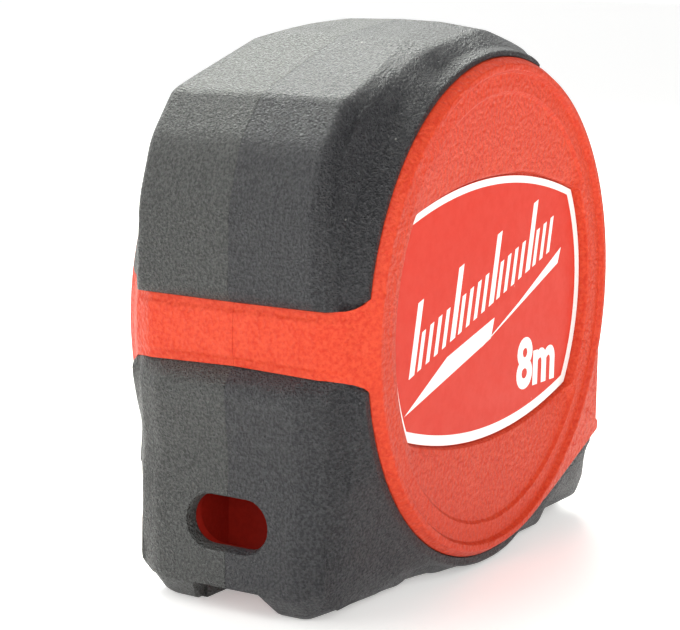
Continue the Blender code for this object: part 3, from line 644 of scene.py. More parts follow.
def make_finishes(axis: Vector, hook_face: float) -> dict[str, bpy.types.Material]:
    """Builds every material.

    Args:
        axis: Where the reel's axis lies.
        hook_face: The blade's zero, from the axis.

    Returns:
        The materials by name.
    """
    groups = {
        tree.name: tree for tree in (spark_grain(), leather_grain(), edge_wear(), fine_dust(), drawn_metal())
    }
    finishes = [
        Finish(
            "red_shell", (0.61, 0.060, 0.021), (0.50, 0.026, 0.008), (0.85, 0.14, 0.07),
            grain_scale=1700.0, bump=1.0, relief=0.34 * MM, roughness=0.45, rough_spread=0.06,
            specular=0.2, wear=0.15, dust=0.08, mottle=0.9,
        ),
        # Painted shade: the same red plastic, darker, for the faces inside the wrist loop's slot and pocket.
        Finish(
            "red_recess_painted_shade", (0.30, 0.012, 0.006), (0.20, 0.008, 0.004), (0.4, 0.03, 0.02),
            grain_scale=1700.0, bump=0.6, relief=0.1 * MM, roughness=0.6, rough_spread=0.06, specular=0.1,
            wear=0.2, dust=0.1,
        ),
        Finish(
            "black_grip", (0.130, 0.131, 0.139), (0.042, 0.042, 0.048), (0.12, 0.125, 0.12), Grain.LEATHER,
            2200.0, bump=1.0, relief=2.0 * MM, roughness=0.40, rough_spread=0.03, wear=0.2, dust=0.8,
            mottle=1.0,
        ),
        # Painted light: the same rubber as black_grip, made lighter for the left half, where more light
        # falls.
        Finish(
            "black_grip_painted_lit_left", (0.190, 0.196, 0.187), (0.068, 0.070, 0.067), (0.14, 0.145, 0.14),
            Grain.LEATHER, 2200.0, bump=1.0, relief=2.0 * MM, roughness=0.40, rough_spread=0.03, wear=0.2,
            dust=0.8, mottle=1.0,
        ),
        Finish(
            "label_red", (0.60, 0.026, 0.008), (0.55, 0.022, 0.007), (0.9, 0.3, 0.2), grain_scale=600.0,
            bump=0.05, relief=0.02 * MM, roughness=0.4, rough_spread=0.06, specular=0.12, coat=0.04,
            wear=0.2, dust=0.15,
        ),
        Finish(
            "label_white", (0.90, 0.89, 0.87), (0.80, 0.79, 0.76), (0.7, 0.68, 0.65), grain_scale=600.0,
            bump=0.05, relief=0.02 * MM, roughness=0.32, rough_spread=0.06, coat=0.5, wear=0.1, dust=0.1,
        ),
        Finish(
            "grey_reel", (0.33, 0.34, 0.35), (0.26, 0.27, 0.28), (0.5, 0.5, 0.5), roughness=0.5,
        ),
        Finish(
            "black_lock", (0.03, 0.031, 0.033), (0.018, 0.018, 0.02), (0.10, 0.10, 0.10),
            grain_scale=1300.0, relief=0.08 * MM, roughness=0.42, wear=0.25, dust=0.15,
        ),
        Finish(
            "grip_pad", (0.05, 0.052, 0.055), (0.03, 0.03, 0.032), (0.12, 0.12, 0.12), Grain.LEATHER,
            roughness=0.7,
        ),
        Finish(
            "spring_steel", (0.42, 0.43, 0.46), (0.3, 0.31, 0.34), (0.6, 0.6, 0.62), Grain.DRAWN, 900.0,
            bump=0.2, relief=0.02 * MM, roughness=0.3, metallic=1.0, dust=0.1,
        ),
        Finish(
            "clip_steel", (0.50, 0.51, 0.53), (0.38, 0.39, 0.41), (0.62, 0.63, 0.65), Grain.DRAWN, 1100.0,
            bump=0.4, relief=0.05 * MM, roughness=0.42, metallic=1.0, dust=0.3,
        ),
        Finish(
            "bright_zinc", (0.56, 0.57, 0.59), (0.44, 0.45, 0.48), (0.85, 0.86, 0.88), Grain.DRAWN, 1100.0,
            bump=0.25, relief=0.03 * MM, roughness=0.3, metallic=1.0, dust=0.15,
        ),
        BladeFinish(
            "blade_lacquer", (0.90, 0.62, 0.03), (0.82, 0.53, 0.02), (0.6, 0.6, 0.58), Grain.DRAWN, 700.0,
            bump=0.08, relief=0.02 * MM, roughness=0.3, rough_spread=0.06, coat=0.6, wear=0.3, dust=0.1,
            start=axis.x + hook_face, middle=axis.y,
        ),
    ]
    return {finish.name: finish.material(groups) for finish in finishes}


def dress(target: bpy.types.Object, *materials: bpy.types.Material) -> None:
    """Gives an object these materials, one to each slot in turn."""
    slots = target.data.materials
    for i in range(len(slots)):
        slots[i] = materials[min(i, len(materials) - 1)]
    for material in materials[len(slots):]:
        slots.append(material)


# ---------------------------------------------------------------- the case's form


@dataclass
class CaseForm:
    """Sizes of the case, and the curves and sections that its shells and grips share."""

    back: float = 41.2 * MM
    front: float = 39.8 * MM
    top: float = 42.0 * MM
    floor: float = -39.3 * MM
    rim: float = 20.4 * MM
    disc: float = 37.0 * MM
    rubber: float = 2.6 * MM
    proud: float = 1.3 * MM
    wall: float = 2.2 * MM
    blade_half: float = 12.5 * MM
    coil: float = 29.8 * MM
    belt_extra: float = 0.045
    wide_reach: float = 32.5 * MM
    seam: float = 0.015 * MM
    edge_break: float = 0.04 * MM
    gap: float = 0.1 * MM
    upper_front: float = 67.0
    band_upper: float = 174.0
    band_lower: float = 186.3
    nose_start: float = 278.0
    upper: list[Vector] = field(init=False)
    lower: list[Vector] = field(init=False)
    face: list[Vector] = field(init=False)
    nose_edge: list[Vector] = field(init=False)

    def __post_init__(self) -> None:
        """Works out the sizes and curves that follow from the others."""
        self.ring = self.rim - 0.6 * MM
        self.disc_edge = self.rim - 1.35 * MM
        self.side = self.rim - 3.2 * MM
        self.nose_side = self.rim - 2.3 * MM
        self.front_side = self.rim - 1.6 * MM
        self.core_side = self.side - self.rubber + 0.3 * MM
        self.label_floor = self.rim - 2.5 * MM
        self.reel_space = self.label_floor - 1.7 * MM
        self.channel = self.blade_half + 0.9 * MM
        self.blade_top = -(self.coil + 0.3 * MM)
        self.mouth_floor = self.blade_top - 2.75 * MM
        self.mouth_roof = self.blade_top + 3.5 * MM
        self.nose_top = self.mouth_roof + 1.9 * MM
        self.upper = self.upper_outline()
        self.lower = self.lower_outline()
        self.face = self.front_outline()
        self.nose_edge = self.nose_outline()
        self.nose_end = angle_of((self.front, self.nose_top))

    def upper_outline(self) -> list[Vector]:
        """Back, three facets and crown of the upper grip, from the band to its front end."""
        back = -(self.back + self.proud)
        points = [
            (back, 4.3 * MM, 0.0),
            (back, self.top - 24.5 * MM, 14 * MM),
            (back + 2.6 * MM, self.top - 16.0 * MM, 10 * MM),
            (back + 7.7 * MM, self.top - 9.6 * MM, 3.2 * MM),
            (-14.7 * MM, self.top - 2.3 * MM, 6 * MM),
            (2.8 * MM, self.top, 14 * MM),
            (16.1 * MM, self.top - 3.2 * MM, 0.0),
        ]
        return fillet(points, 10)

    def lower_outline(self) -> list[Vector]:
        """Heel, feet, bottom rail and nose of the lower grip, from the band to the nose's top edge."""
        back = -(self.back + self.proud)
        low = self.floor
        nose_low = low + 2.0 * MM
        points = [
            (-self.back - 0.3 * MM, -4.5 * MM, 0),
            (back - 0.8 * MM, -7.2 * MM, 3),
            (back + 0.7 * MM, -18.4 * MM, 12),
            (back, low + 9.2 * MM, 10),
            (back + 0.1 * MM, low + 3.4 * MM, 2),
            (back + 3.4 * MM, low, 1.5),
            (-21.0 * MM, low, 1),
            (-19.5 * MM, low + 0.6 * MM, 1),
            (-11.0 * MM, low + 0.6 * MM, 1),
            (-9.5 * MM, low, 1),
            (self.front - 16.8 * MM, low, 1),
            (self.front - 14.6 * MM, nose_low, 1),
            (self.front - 2.6 * MM, nose_low, 2),
            (self.front, nose_low + 2.8 * MM, 2),
            (self.front, self.nose_top, 0),
        ]
        return fillet([(x, z, radius * MM) for x, z, radius in points], 6)

    def front_outline(self) -> list[Vector]:
        """Bare red front, from the nose's top edge up to the upper grip."""
        points = [
            (self.front, self.nose_top, 0.0),
            (self.front, 4.0 * MM, 10 * MM),
            (self.front - 3.3 * MM, 17.0 * MM, 10 * MM),
            (self.front - 11.8 * MM, 29.0 * MM, 10 * MM),
            (15.6 * MM, self.top - 5.4 * MM, 0.0),
        ]
        return fillet(points, 8)

    def nose_outline(self) -> list[Vector]:
        """Where the red side meets the black nose: it leaves the disc and climbs to the front."""
        start = 4.8 * MM
        points = [
            (start, -math.sqrt(self.disc**2 - start**2), 0.0),
            (19.9 * MM, -self.disc + 3.7 * MM, 20 * MM),
            (self.front + 0.5 * MM, self.nose_top, 0.0),
        ]
        return fillet(points, 8)

    def cavity_outline(self) -> list[Point]:
        """Inside of the case around the reel and the front channel, a wall in from the outside."""
        back = -(self.back + self.proud) + self.rubber + self.wall
        top = self.top - self.rubber - self.wall
        front = self.front - self.wall - 0.2 * MM
        roof = self.floor + 18.6 * MM
        outline = [
            (front, self.mouth_floor),
            (front, 3.5 * MM),
            (front - 3.0 * MM, 15.5 * MM),
            (front - 11.0 * MM, 26.8 * MM),
            (15.0 * MM, top - 4.2 * MM),
            (2.5 * MM, top - 0.4 * MM),
            (-14.0 * MM, top - 2.4 * MM),
            (back + 6.2 * MM, top - 9.6 * MM),
            (back + 1.6 * MM, top - 15.5 * MM),
            (back, top - 22.5 * MM),
            (back, roof),
            (-self.back + 12.6 * MM, roof),
        ]
        bottom = self.disc - self.wall - 0.3 * MM
        start = angle_of((-self.back + 13.5 * MM, roof - 1.0 * MM))
        stop = 360 - math.degrees(math.asin(-self.mouth_floor / bottom))
        count = 24
        for i in range(count + 1):
            turn = math.radians(start + (stop - start) * i / count)
            outline.append((bottom * math.cos(turn), bottom * math.sin(turn)))
        return outline

    def pull(self, half_width: float, dip: float, radius: float) -> float:
        """How far a grip's end draws back at this half width, as an angle in degrees.

        Args:
            half_width: Distance from the seam.
            dip: Gentle bow of the end edge.
            radius: Height of its rounded corner.

        Returns:
            The angle to draw back by.
        """
        start = self.side - 2.6 * MM
        t = min(1.0, max(0.0, (half_width - start) / (self.disc_edge - start)))
        away = radius * (1 - math.sqrt(1 - t * t)) + dip * (half_width / self.side) ** 2
        return math.degrees(away / self.back)

    def warp(self, angle: float, half_width: float) -> float:
        """Bends the stations beside a grip's end so that they follow its rounded corners.

        Args:
            angle: The station.
            half_width: Distance from the seam.

        Returns:
            The angle at that half width.
        """
        middle = (self.band_upper + self.band_lower) / 2
        ends = (
            (self.upper_front, 1, 45.0, 85.0, 0.6 * MM, 3.0 * MM),
            (self.band_upper, -1, 158.0, middle, 0.1 * MM, 3.0 * MM),
            (self.band_lower, 1, middle, 205.0, 0.7 * MM, 2.4 * MM),
        )
        for end, sign, low, high, dip, radius in ends:
            if low < angle < high:
                share = (angle - low) / (end - low) if angle < end else (high - angle) / (high - end)
                return angle + sign * share * self.pull(half_width, dip, radius)
        return angle

    def place(self, section: Sequence[Vector], angle: float, half: Half, bend: bool = True) -> list[Vector]:
        """Turns half widths and reaches into points.

        Args:
            section: Pairs of half width and reach.
            angle: The station.
            half: Which half of the case.
            bend: Whether the points follow the grips' rounded corners.

        Returns:
            The points around the reel's axis.
        """
        points = []
        for y, r in section:
            turn = math.radians(self.warp(angle, y) if bend else angle)
            extra = self.belt_extra if half is Half.LEFT and r > self.wide_reach else 0.0
            points.append(Vector((r * math.cos(turn), half.value * y * (1 + extra), r * math.sin(turn))))
        return points

    def nose_reach(self, angle: float) -> float:
        """Reach of the edge between the red side and the black nose.

        Args:
            angle: The station.

        Returns:
            The reach, never less than the disc's radius.
        """
        if angle <= self.nose_start:
            return self.disc
        black = (1.2 + 2.2 * (1 - smooth(angle, self.nose_end - 14, self.nose_end))) * MM
        edge = min(reach_at(self.nose_edge, angle), reach_at(self.lower, angle) - black)
        return max(edge, self.disc)


# ---------------------------------------------------------------- shells


@dataclass
class Shell:
    """One red half of the case: the bare band and front, the round side with its rim, and the insides."""

    form: CaseForm
    half: Half
    band_margin: float = 1.25 * MM
    band_sink: float = 0.28 * MM
    rim_width: float = 0.9 * MM
    chamfer: float = 1.0 * MM
    ring_inner: float = 31.6 * MM
    dish_edge: float = 18.8 * MM
    label_gap: float = 0.12 * MM
    label_inset: float = 6.8 * MM
    label_rise: float = 19.5 * MM
    label_arc: float = 85.0 * MM
    boss: float = 2.5 * MM
    screw_hole: float = 1.3 * MM
    screw_seat: float = 2.0 * MM
    screw_angles: tuple[float, ...] = (38.0, 142.0, 207.0, 332.0)
    screw_inset: float = 3.5 * MM
    recess_depth: float = 11.0 * MM
    recess_half: float = 7.8 * MM
    recess_height: float = 18.0 * MM
    heel_wall: Point = (-46.2 * MM, -37.7 * MM)

    def label_reach(self, angle: float, inset: float = 0.0, low_inset: float | None = None) -> float:
        """Reach of the barrel-shaped label: round ends, and a long arc above and below.

        Args:
            angle: The station.
            inset: How far in from the label's edge at the top.
            low_inset: The same at the ends and the bottom, if it differs.

        Returns:
            The reach from the reel's axis.
        """
        low_inset = inset if low_inset is None else low_inset
        turn = math.radians(angle)
        ray = Vector((math.cos(turn), math.sin(turn)))
        arc = self.label_arc
        rise = self.label_rise - (inset if ray.y > 0 else low_inset)
        center = Vector((0.0, rise - arc if ray.y > 0 else arc - rise))
        dot = ray.dot(center)
        to_arc = dot + math.sqrt(dot * dot - center.length_squared + arc * arc)
        return min(self.form.disc - self.label_inset - low_inset, to_arc)

    def side_corners(self, angle: float) -> list[Corner]:
        """Round side from the disc's edge in to the label's floor: chamfer, rim, groove, ring and dish."""
        form = self.form
        label = self.label_reach(angle) + self.label_gap
        ring = max(self.ring_inner, label + 0.6 * MM)
        room = smooth(ring - label, 0.8 * MM, 3.0 * MM)
        dish = form.ring - 0.1 * MM + (self.dish_edge - form.ring + 0.1 * MM) * room
        rim = form.disc - self.chamfer
        return [
            (form.disc_edge, form.disc - 0.02 * MM, 0.25 * MM),
            (form.rim, rim, 0.45 * MM),
            (form.rim, rim - self.rim_width, 0.3 * MM),
            (form.ring - 0.12 * MM, rim - self.rim_width - 0.4 * MM, 0.2 * MM),
            (form.ring, ring + 0.45 * MM, 0.25 * MM),
            (form.ring - 0.45 * MM * room, ring, 0.3 * MM),
            (dish, label + 0.35 * MM, 0.3 * MM),
            (form.label_floor + 0.35 * MM, label + 0.03 * MM, 0.1 * MM),
            (form.label_floor, label, 0.0),
            (form.label_floor, 3.0 * MM, 0.0),
        ]

    def covered_corners(self, angle: float) -> list[Corner]:
        """Red core under a grip, and in the nose the red side that stands beyond the disc."""
        form = self.form
        path = form.upper if angle < form.band_upper + 1 else form.lower
        reach = reach_at(path, angle) - form.rubber
        edge = form.disc - 0.6 * MM
        side = form.core_side + 0.4 * MM
        if angle > form.nose_start:
            edge = max(edge, form.nose_reach(angle))
            side = max(side, form.front_side * smooth(angle, form.nose_start, form.nose_start + 5))
        return [
            (form.seam, reach, 0.0),
            (form.seam + form.edge_break, reach, 0.0),
            (form.core_side - 4.0 * MM, reach, 0.0),
            (form.core_side, max(reach - 1.8 * MM, edge), 1.0 * MM),
            (form.core_side, edge, 0.0),
            (side, edge, 0.3 * MM),
            (side, form.disc, 0.0),
        ]

    def band_corners(self, angle: float) -> list[Corner]:
        """Bare band across the back, which runs out into the round side in one sweep."""
        form = self.form
        reach = -form.back / math.cos(math.radians(angle))
        margin = math.degrees(self.band_margin / form.back)
        inside = min(angle - form.band_upper, form.band_lower - angle)
        reach -= self.band_sink * (1 - smooth(inside, margin * 0.75, margin * 1.2))
        return [
            (form.seam, reach - form.edge_break, 0.0),
            (form.seam + form.edge_break, reach, 0.0),
            (form.side - 3.6 * MM, reach - 0.1 * MM, 3.0 * MM),
            (form.side - 0.2 * MM, reach - 1.9 * MM, 2.0 * MM),
            (form.side + 0.3 * MM, form.disc + 1.6 * MM, 1.6 * MM),
            (form.disc_edge - 0.5 * MM, form.disc + 0.5 * MM, 0.8 * MM),
            (form.disc_edge - 0.1 * MM, form.disc + 0.1 * MM, 0.0),
        ]

    def front_corners(self, angle: float) -> list[Corner]:
        """Bare front face with its rounded shoulders."""
        form = self.form
        reach = reach_at(form.face, angle)
        rise = angle if angle < 180 else angle - 360
        round_off = 2.3 * MM + 0.6 * MM * smooth(rise, -10, 20)
        side = form.front_side - 1.6 * MM * smooth(rise, -14, 12)
        flat = side - 5.0 * MM - 4.0 * MM * smooth(rise, -10, 30)
        return [
            (form.seam, reach - form.edge_break, 0.0),
            (form.seam + form.edge_break, reach, 0.0),
            (flat, reach, 6.0 * MM),
            (side - 0.10 * (side - flat), reach - 0.42 * round_off, 2.0 * MM),
            (side, reach - round_off, 0.8 * MM),
            (side, form.disc + 0.35 * MM, 0.3 * MM),
            (side + 0.2 * MM, form.disc + 0.02 * MM, 0.0),
        ]

    def stations(self) -> list[tuple[float, Callable[[float], list[Corner]]]]:
        """Every station with the corners that it is made from; each zone's border has two."""
        form = self.form
        zones = [
            (0.0, form.upper_front, self.front_corners),
            (form.upper_front, form.band_upper, self.covered_corners),
            (form.band_upper, form.band_lower, self.band_corners),
            (form.band_lower, form.nose_end, self.covered_corners),
            (form.nose_end, 360.0, self.front_corners),
        ]
        tiny = 0.01
        found = []
        for start, stop, corners in zones:
            count = math.ceil((stop - start) / (0.4 if corners == self.band_corners else 1.5))
            for i in range(count + 1):
                angle = start + tiny + (stop - start - 2 * tiny) * i / count
                found.append((angle, corners))
        return found

    def skin_mesh(self) -> bmesh.types.BMesh:
        """The half's outside as one closed body."""
        sections = []
        for angle, corners in self.stations():
            path = fillet(corners(angle) + self.side_corners(angle), 4)
            sections.append(self.form.place(path, angle, self.half))
        return skin(sections, around=True)

    def screw_places(self) -> list[Point]:
        """The four case screws on the flat ring, as x and z."""
        circle = self.form.disc - self.screw_inset
        return [
            (circle * math.cos(math.radians(angle)), circle * math.sin(math.radians(angle)))
            for angle in self.screw_angles
        ]

    def slot(self, grow: float, flare: float = 0.0) -> bmesh.types.BMesh:
        """Obround hole through the back for a wrist loop.

        Args:
            grow: How much wider than the grip's hole it is.
            flare: How far its outer end opens out.

        Returns:
            The closed cutter.
        """
        middle = self.form.floor + 12.9 * MM
        low, high = self.heel_wall
        surface = -(self.form.back + self.form.proud) + 0.25 * MM
        rows = [(low, flare * 4), (surface, flare), (surface + 0.7 * MM, 0.0), (high, 0.0)]
        sections = []
        for x, more in rows:
            height = 3.62 * MM + grow + more
            straight = 6.46 * MM - 3.62 * MM
            row = []
            for end, first in ((1, -90), (-1, 90)):
                for i in range(17):
                    turn = math.radians(first + 180 * i / 16)
                    row.append(
                        Vector(
                            (x, end * straight + height * math.cos(turn), middle + height * math.sin(turn))
                        )
                    )
            sections.append(row)
        return skin(sections, ring=True)

    def notch(self) -> bmesh.types.BMesh:
        """Slant-sided notch in the heel's lower edge, where the wrist loop leaves the pocket."""
        low = self.form.floor
        corners = [
            (-7.6 * MM, low - 1.0 * MM, 0.0),
            (-5.6 * MM, low + 3.6 * MM, 0.8 * MM),
            (5.6 * MM, low + 3.6 * MM, 0.8 * MM),
            (7.6 * MM, low - 1.0 * MM, 0.0),
        ]
        return prism([tuple(point) for point in fillet(corners, 5)], *self.heel_wall, axis="x")

    def pocket(self, half_width: float) -> bmesh.types.BMesh:
        """Space behind the slot, open downwards, of this half width."""
        form = self.form
        low = (-form.back + 3.0 * MM, -half_width, form.floor - 1.0 * MM)
        high = (-form.back + 10.4 * MM, half_width, form.floor + 17.0 * MM)
        return block(low, high)

    def mouth(self, half_width: float, roof: float) -> bmesh.types.BMesh:
        """Opening in the front that the blade comes out of.

        Args:
            half_width: From the seam to its side.
            roof: Its upper edge.

        Returns:
            The closed cutter.
        """
        low = (self.form.front - 8.0 * MM, -half_width, self.form.mouth_floor)
        high = (self.form.front + 3.0 * MM, half_width, roof)
        return block(low, high)

    def window(self) -> bmesh.types.BMesh:
        """Slot in the front face that the lock's neck slides in."""
        low = (self.form.front - 4.0 * MM, -3.4 * MM, -12.9 * MM)
        high = (self.form.front + 3.0 * MM, 3.4 * MM, -2.1 * MM)
        return block(low, high)

    def build(self, shop: Workshop) -> bpy.types.Object:
        """Builds the half: its outside, then the room inside it and its openings.

        Args:
            shop: Where pieces are made.

        Returns:
            The piece.
        """
        form, sign = self.form, self.half.value
        shell = shop.piece(f"{self.half.word}_shell_moulding", self.skin_mesh())
        inner, outer = sorted((-sign * 1.0 * MM, sign * form.channel))
        room = form.disc - form.wall - 1.7 * MM
        space = [
            (-sign * 0.9 * MM, 0.0),
            (-sign * 0.9 * MM, room),
            (sign * form.reel_space, room),
            (sign * form.reel_space, 0.0),
        ]
        shop.cut(shell, [prism(form.cavity_outline(), inner, outer), lathe(space)])
        places = self.screw_places()
        bosses = []
        for center in places:
            top = sign * (form.reel_space + 0.5 * MM)
            start = sign * form.seam
            bosses.append(lathe([(start, 0.0), (start, self.boss), (top, self.boss), (top, 0.0)], center, 32))
        shop.cut(shell, bosses, "UNION")
        holes = []
        for center in places:
            end = form.rim + 2.0 * MM if self.half is Half.LEFT else -9.0 * MM
            start = -sign * 1.0 * MM
            bore = [(start, 0.0), (start, self.screw_hole), (end, self.screw_hole), (end, 0.0)]
            holes.append(lathe(bore, center, 32))
            if self.half is Half.LEFT:
                seat = form.ring - 1.8 * MM
                profile = [
                    (seat, 0.0),
                    (seat, self.screw_seat),
                    (form.ring - 0.3 * MM, self.screw_seat),
                    (form.ring + 0.1 * MM, self.screw_seat + 0.4 * MM),
                    (end, self.screw_seat + 2.0 * MM),
                    (end, 0.0),
                ]
                holes.append(lathe(profile, center, 32))
        shop.cut(shell, holes)
        shop.cut(shell, [self.slot(0.6 * MM), self.notch(), self.pocket(7.4 * MM)])
        shop.cut(shell, [self.mouth(form.channel, form.mouth_roof), self.window()])
        if self.half is Half.LEFT:
            low, high, radius = form.reel_space - 1.0 * MM, form.rim + 1.0 * MM, 2.0 * MM
        else:
            low, high, radius = -form.reel_space - 0.8 * MM, -form.reel_space + 1.0 * MM, 4.3 * MM
        shop.cut(shell, [lathe([(low, 0.0), (low, radius), (high, radius), (high, 0.0)], count=48)])
        # Painted shade: the faces in the wrist loop's slot and pocket get the darker red.
        self.paint_recess_shade(shop, shell)
        return shell

    def paint_recess_shade(self, shop: Workshop, shell: bpy.types.Object) -> None:
        """Puts the faces inside the wrist loop's slot and pocket in a slot of their own, which gets a darker
        red as painted shade.

        Args:
            shop: Where pieces are made.
            shell: The half.
        """
        edge = -self.form.back + 0.4 * MM
        for face in shell.data.polygons:
            place = face.center - shop.axis
            inside = edge < place.x < edge + self.recess_depth and abs(place.y) < self.recess_half
            if inside and place.z < self.form.floor + self.recess_height:
                face.material_index = 1


# ---------------------------------------------------------------- grips


@dataclass
class Grip:
    """Moulded rubber over one half of the case: back, shoulder, side, crease, and a lip by the disc."""

    shell: Shell
    name: str
    start: float
    stop: float
    start_roll: float = 1.3 * MM
    stop_roll: float = 1.3 * MM
    seat: float = 0.12 * MM

    @property
    def form(self) -> CaseForm:
        """The case's shared form."""
        return self.shell.form

    def sizes(self, angle: float) -> tuple[float, float, float, float, float, float]:
        """Sizes of the section at one station.

        Args:
            angle: The station.

        Returns:
            Half width of the flat back, half width of the side, drop of the shoulder, reach of the
            edge by the disc, height of the lip, and width of its flare.
        """
        raise NotImplementedError

    def valley(self, angle: float) -> float:
        """How far the crease cuts in under the shoulder at this station, from 0 to 1."""
        return 0.0

    def corners(self, angle: float) -> tuple[list[Corner], list[Point]]:
        """Outer corners from the seam to the lip, and the inner wall back to the seam."""
        form = self.form
        flat, side, drop, edge, lip, flare = self.sizes(angle)
        reach = reach_at(self.path, angle)
        lip_reach = edge + lip
        low = max(reach - drop, lip_reach + 0.7 * MM)
        crease = max(min(low - 0.3 * MM, lip_reach + flare), lip_reach + 0.35 * MM)
        spread = smooth(lip, 0.3 * MM, 0.9 * MM)
        lip_side = side + (max(side, form.disc_edge - 0.05 * MM) - side) * spread
        crown = min(0.6 * MM, 0.25 * (reach - low))
        valley = self.valley(angle)
        wall = max(side - 1.3 * MM, flat + 0.5 * MM)
        foot = side - 1.1 * MM * valley
        soft = Vector((flat + 0.8 * (wall - flat), reach - crown - 0.2 * (reach - low - crown)))
        steep = Vector((flat + 0.42 * (foot - flat) + 0.25 * MM, reach - 0.4 * (reach - crease)))
        upper = soft.lerp(steep, valley)
        soft = Vector((0.3 * wall + 0.7 * foot, 0.45 * low + 0.55 * crease))
        steep = Vector((flat + 0.8 * (foot - flat) + 0.2 * MM, reach - 0.8 * (reach - crease)))
        lower = soft.lerp(steep, valley)
        corners = [
            (form.seam, reach - form.edge_break, 0.0),
            (form.seam + form.edge_break, reach, 0.0),
            (flat, reach - 0.3 * crown, 5.0 * MM - 3.4 * MM * valley),
            (upper.x, upper.y, 2.4 * MM),
            (lower.x, lower.y, 2.0 * MM),
            (foot, crease, 1.3 * MM + 0.5 * flare - 0.7 * MM * valley),
            (lip_side, lip_reach, 0.5 * MM),
            (lip_side, edge + form.gap, 0.15 * MM),
            (form.core_side + self.seat, edge + form.gap, 0.0),
        ]
        inner = reach - form.rubber + self.seat
        return corners, [(form.core_side + self.seat, inner), (form.seam, inner)]

    def section(self, angle: float) -> list[Vector]:
        """The closed loop of one station, rolled over towards the grip's ends."""
        form = self.form
        corners, inner = self.corners(angle)
        share = 1.0
        for away, roll in ((angle - self.start, self.start_roll), (self.stop - angle, self.stop_roll)):
            done = min(1.0, max(0.0, math.radians(away) * form.back / roll))
            share *= math.sqrt(1 - (1 - done) ** 2)
        reach = reach_at(self.path, angle)
        edge = corners[-1][1]
        rolled = []
        for i, (y, r, radius) in enumerate(corners):
            base = max(min(reach - form.proud, r), edge) if i < 5 else edge
            if i < 5:
                base = min(base, r)
            rolled.append((y, base + (0.06 + 0.94 * share) * (r - base) if r > base else r, radius))
        return fillet(rolled, 5) + [Vector(point) for point in inner]

    @property
    def path(self) -> list[Vector]:
        """The grip's outline in the seam plane."""
        raise NotImplementedError

    def stations(self) -> list[float]:
        """Station angles, close together where the ends roll over."""
        form = self.form
        margin = math.degrees(form.gap / form.back)
        low, high = self.start + margin, self.stop - margin
        near = [
            math.degrees(d * MM / form.back) for d in (0.0, 0.06, 0.15, 0.3, 0.5, 0.75, 1.05, 1.4, 1.8, 2.3)
        ]
        inside = [low + near[-1], high - near[-1]]
        count = math.ceil((inside[1] - inside[0]) / 1.0)
        body = [inside[0] + (inside[1] - inside[0]) * i / count for i in range(1, count)]
        return [low + a for a in near] + body + [high - a for a in reversed(near)]

    def build(self, shop: Workshop) -> bpy.types.Object:
        """Builds the grip.

        Args:
            shop: Where pieces are made.

        Returns:
            The piece.
        """
        sections = [self.form.place(self.section(a), a, self.shell.half) for a in self.stations()]
        return shop.piece(self.name, skin(sections, ring=True), 40.0)


@dataclass
class UpperGrip(Grip):
    """Grip over the back and the crown; its flat narrows over the crown and the shoulders join the lip."""

    belt_flat: float = 1.4 * MM

    @property
    def path(self) -> list[Vector]:
        """The upper outline."""
        return self.form.upper

    def sizes(self, angle: float) -> tuple[float, float, float, float, float, float]:
        """Sizes of the section; see Grip.sizes."""
        crown = smooth(angle, 132, 95)
        flat = 10.4 * MM + 2.8 * MM * self.valley(angle) - 4.0 * MM * (1 - smooth(angle, 80, 120))
        if self.shell.half is Half.LEFT:
            flat += self.belt_flat
        drop = 2.6 * MM + 2.0 * MM * crown
        return flat, self.form.side, drop, self.form.disc, 0.9 * MM, (2.4 - 1.6 * crown) * MM

    def valley(self, angle: float) -> float:
        """The crease runs from the band up to the crown, where it fades out."""
        return smooth(angle, 106, 138)


class LowerGrip(Grip):
    """Grip under the band: wide heel, bottom rail, then the nose, whose side lies beyond the disc."""

    @property
    def path(self) -> list[Vector]:
        """The lower outline."""
        return self.form.lower

    def sizes(self, angle: float) -> tuple[float, float, float, float, float, float]:
        """Sizes of the section; see Grip.sizes."""
        form = self.form
        nose = smooth(angle, form.nose_start, form.nose_start + 20)
        heel = 1 - smooth(angle, 236, 252)
        side = form.side + 0.4 * MM * heel + (form.nose_side - form.side) * nose
        flat = 14.2 * MM - 3.0 * MM * heel
        drop = 2.2 * MM + 2.2 * MM * heel + 0.4 * MM * nose
        edge = form.nose_reach(angle)
        return flat, side, drop, edge, (0.3 + 1.1 * (1 - nose)) * MM, (1.4 + 3.4 * heel) * MM

    def valley(self, angle: float) -> float:
        """A shallow one on the heel only."""
        return 0.35 * (1 - smooth(angle, 236, 252))

    def build(self, shop: Workshop) -> bpy.types.Object:
        """Builds the grip and cuts the wrist loop's slot and notch and the blade's mouth.

        Args:
            shop: Where pieces are made.

        Returns:
            The piece.
        """
        grip = super().build(shop)
        shell = self.shell
        mouth = shell.mouth(self.form.channel + 0.4 * MM, self.form.nose_top + 2.0 * MM)
        shop.cut(grip, [shell.slot(0.0, 0.35 * MM), shell.notch(), shell.pocket(6.2 * MM), mouth])
        return grip


# ---------------------------------------------------------------- label


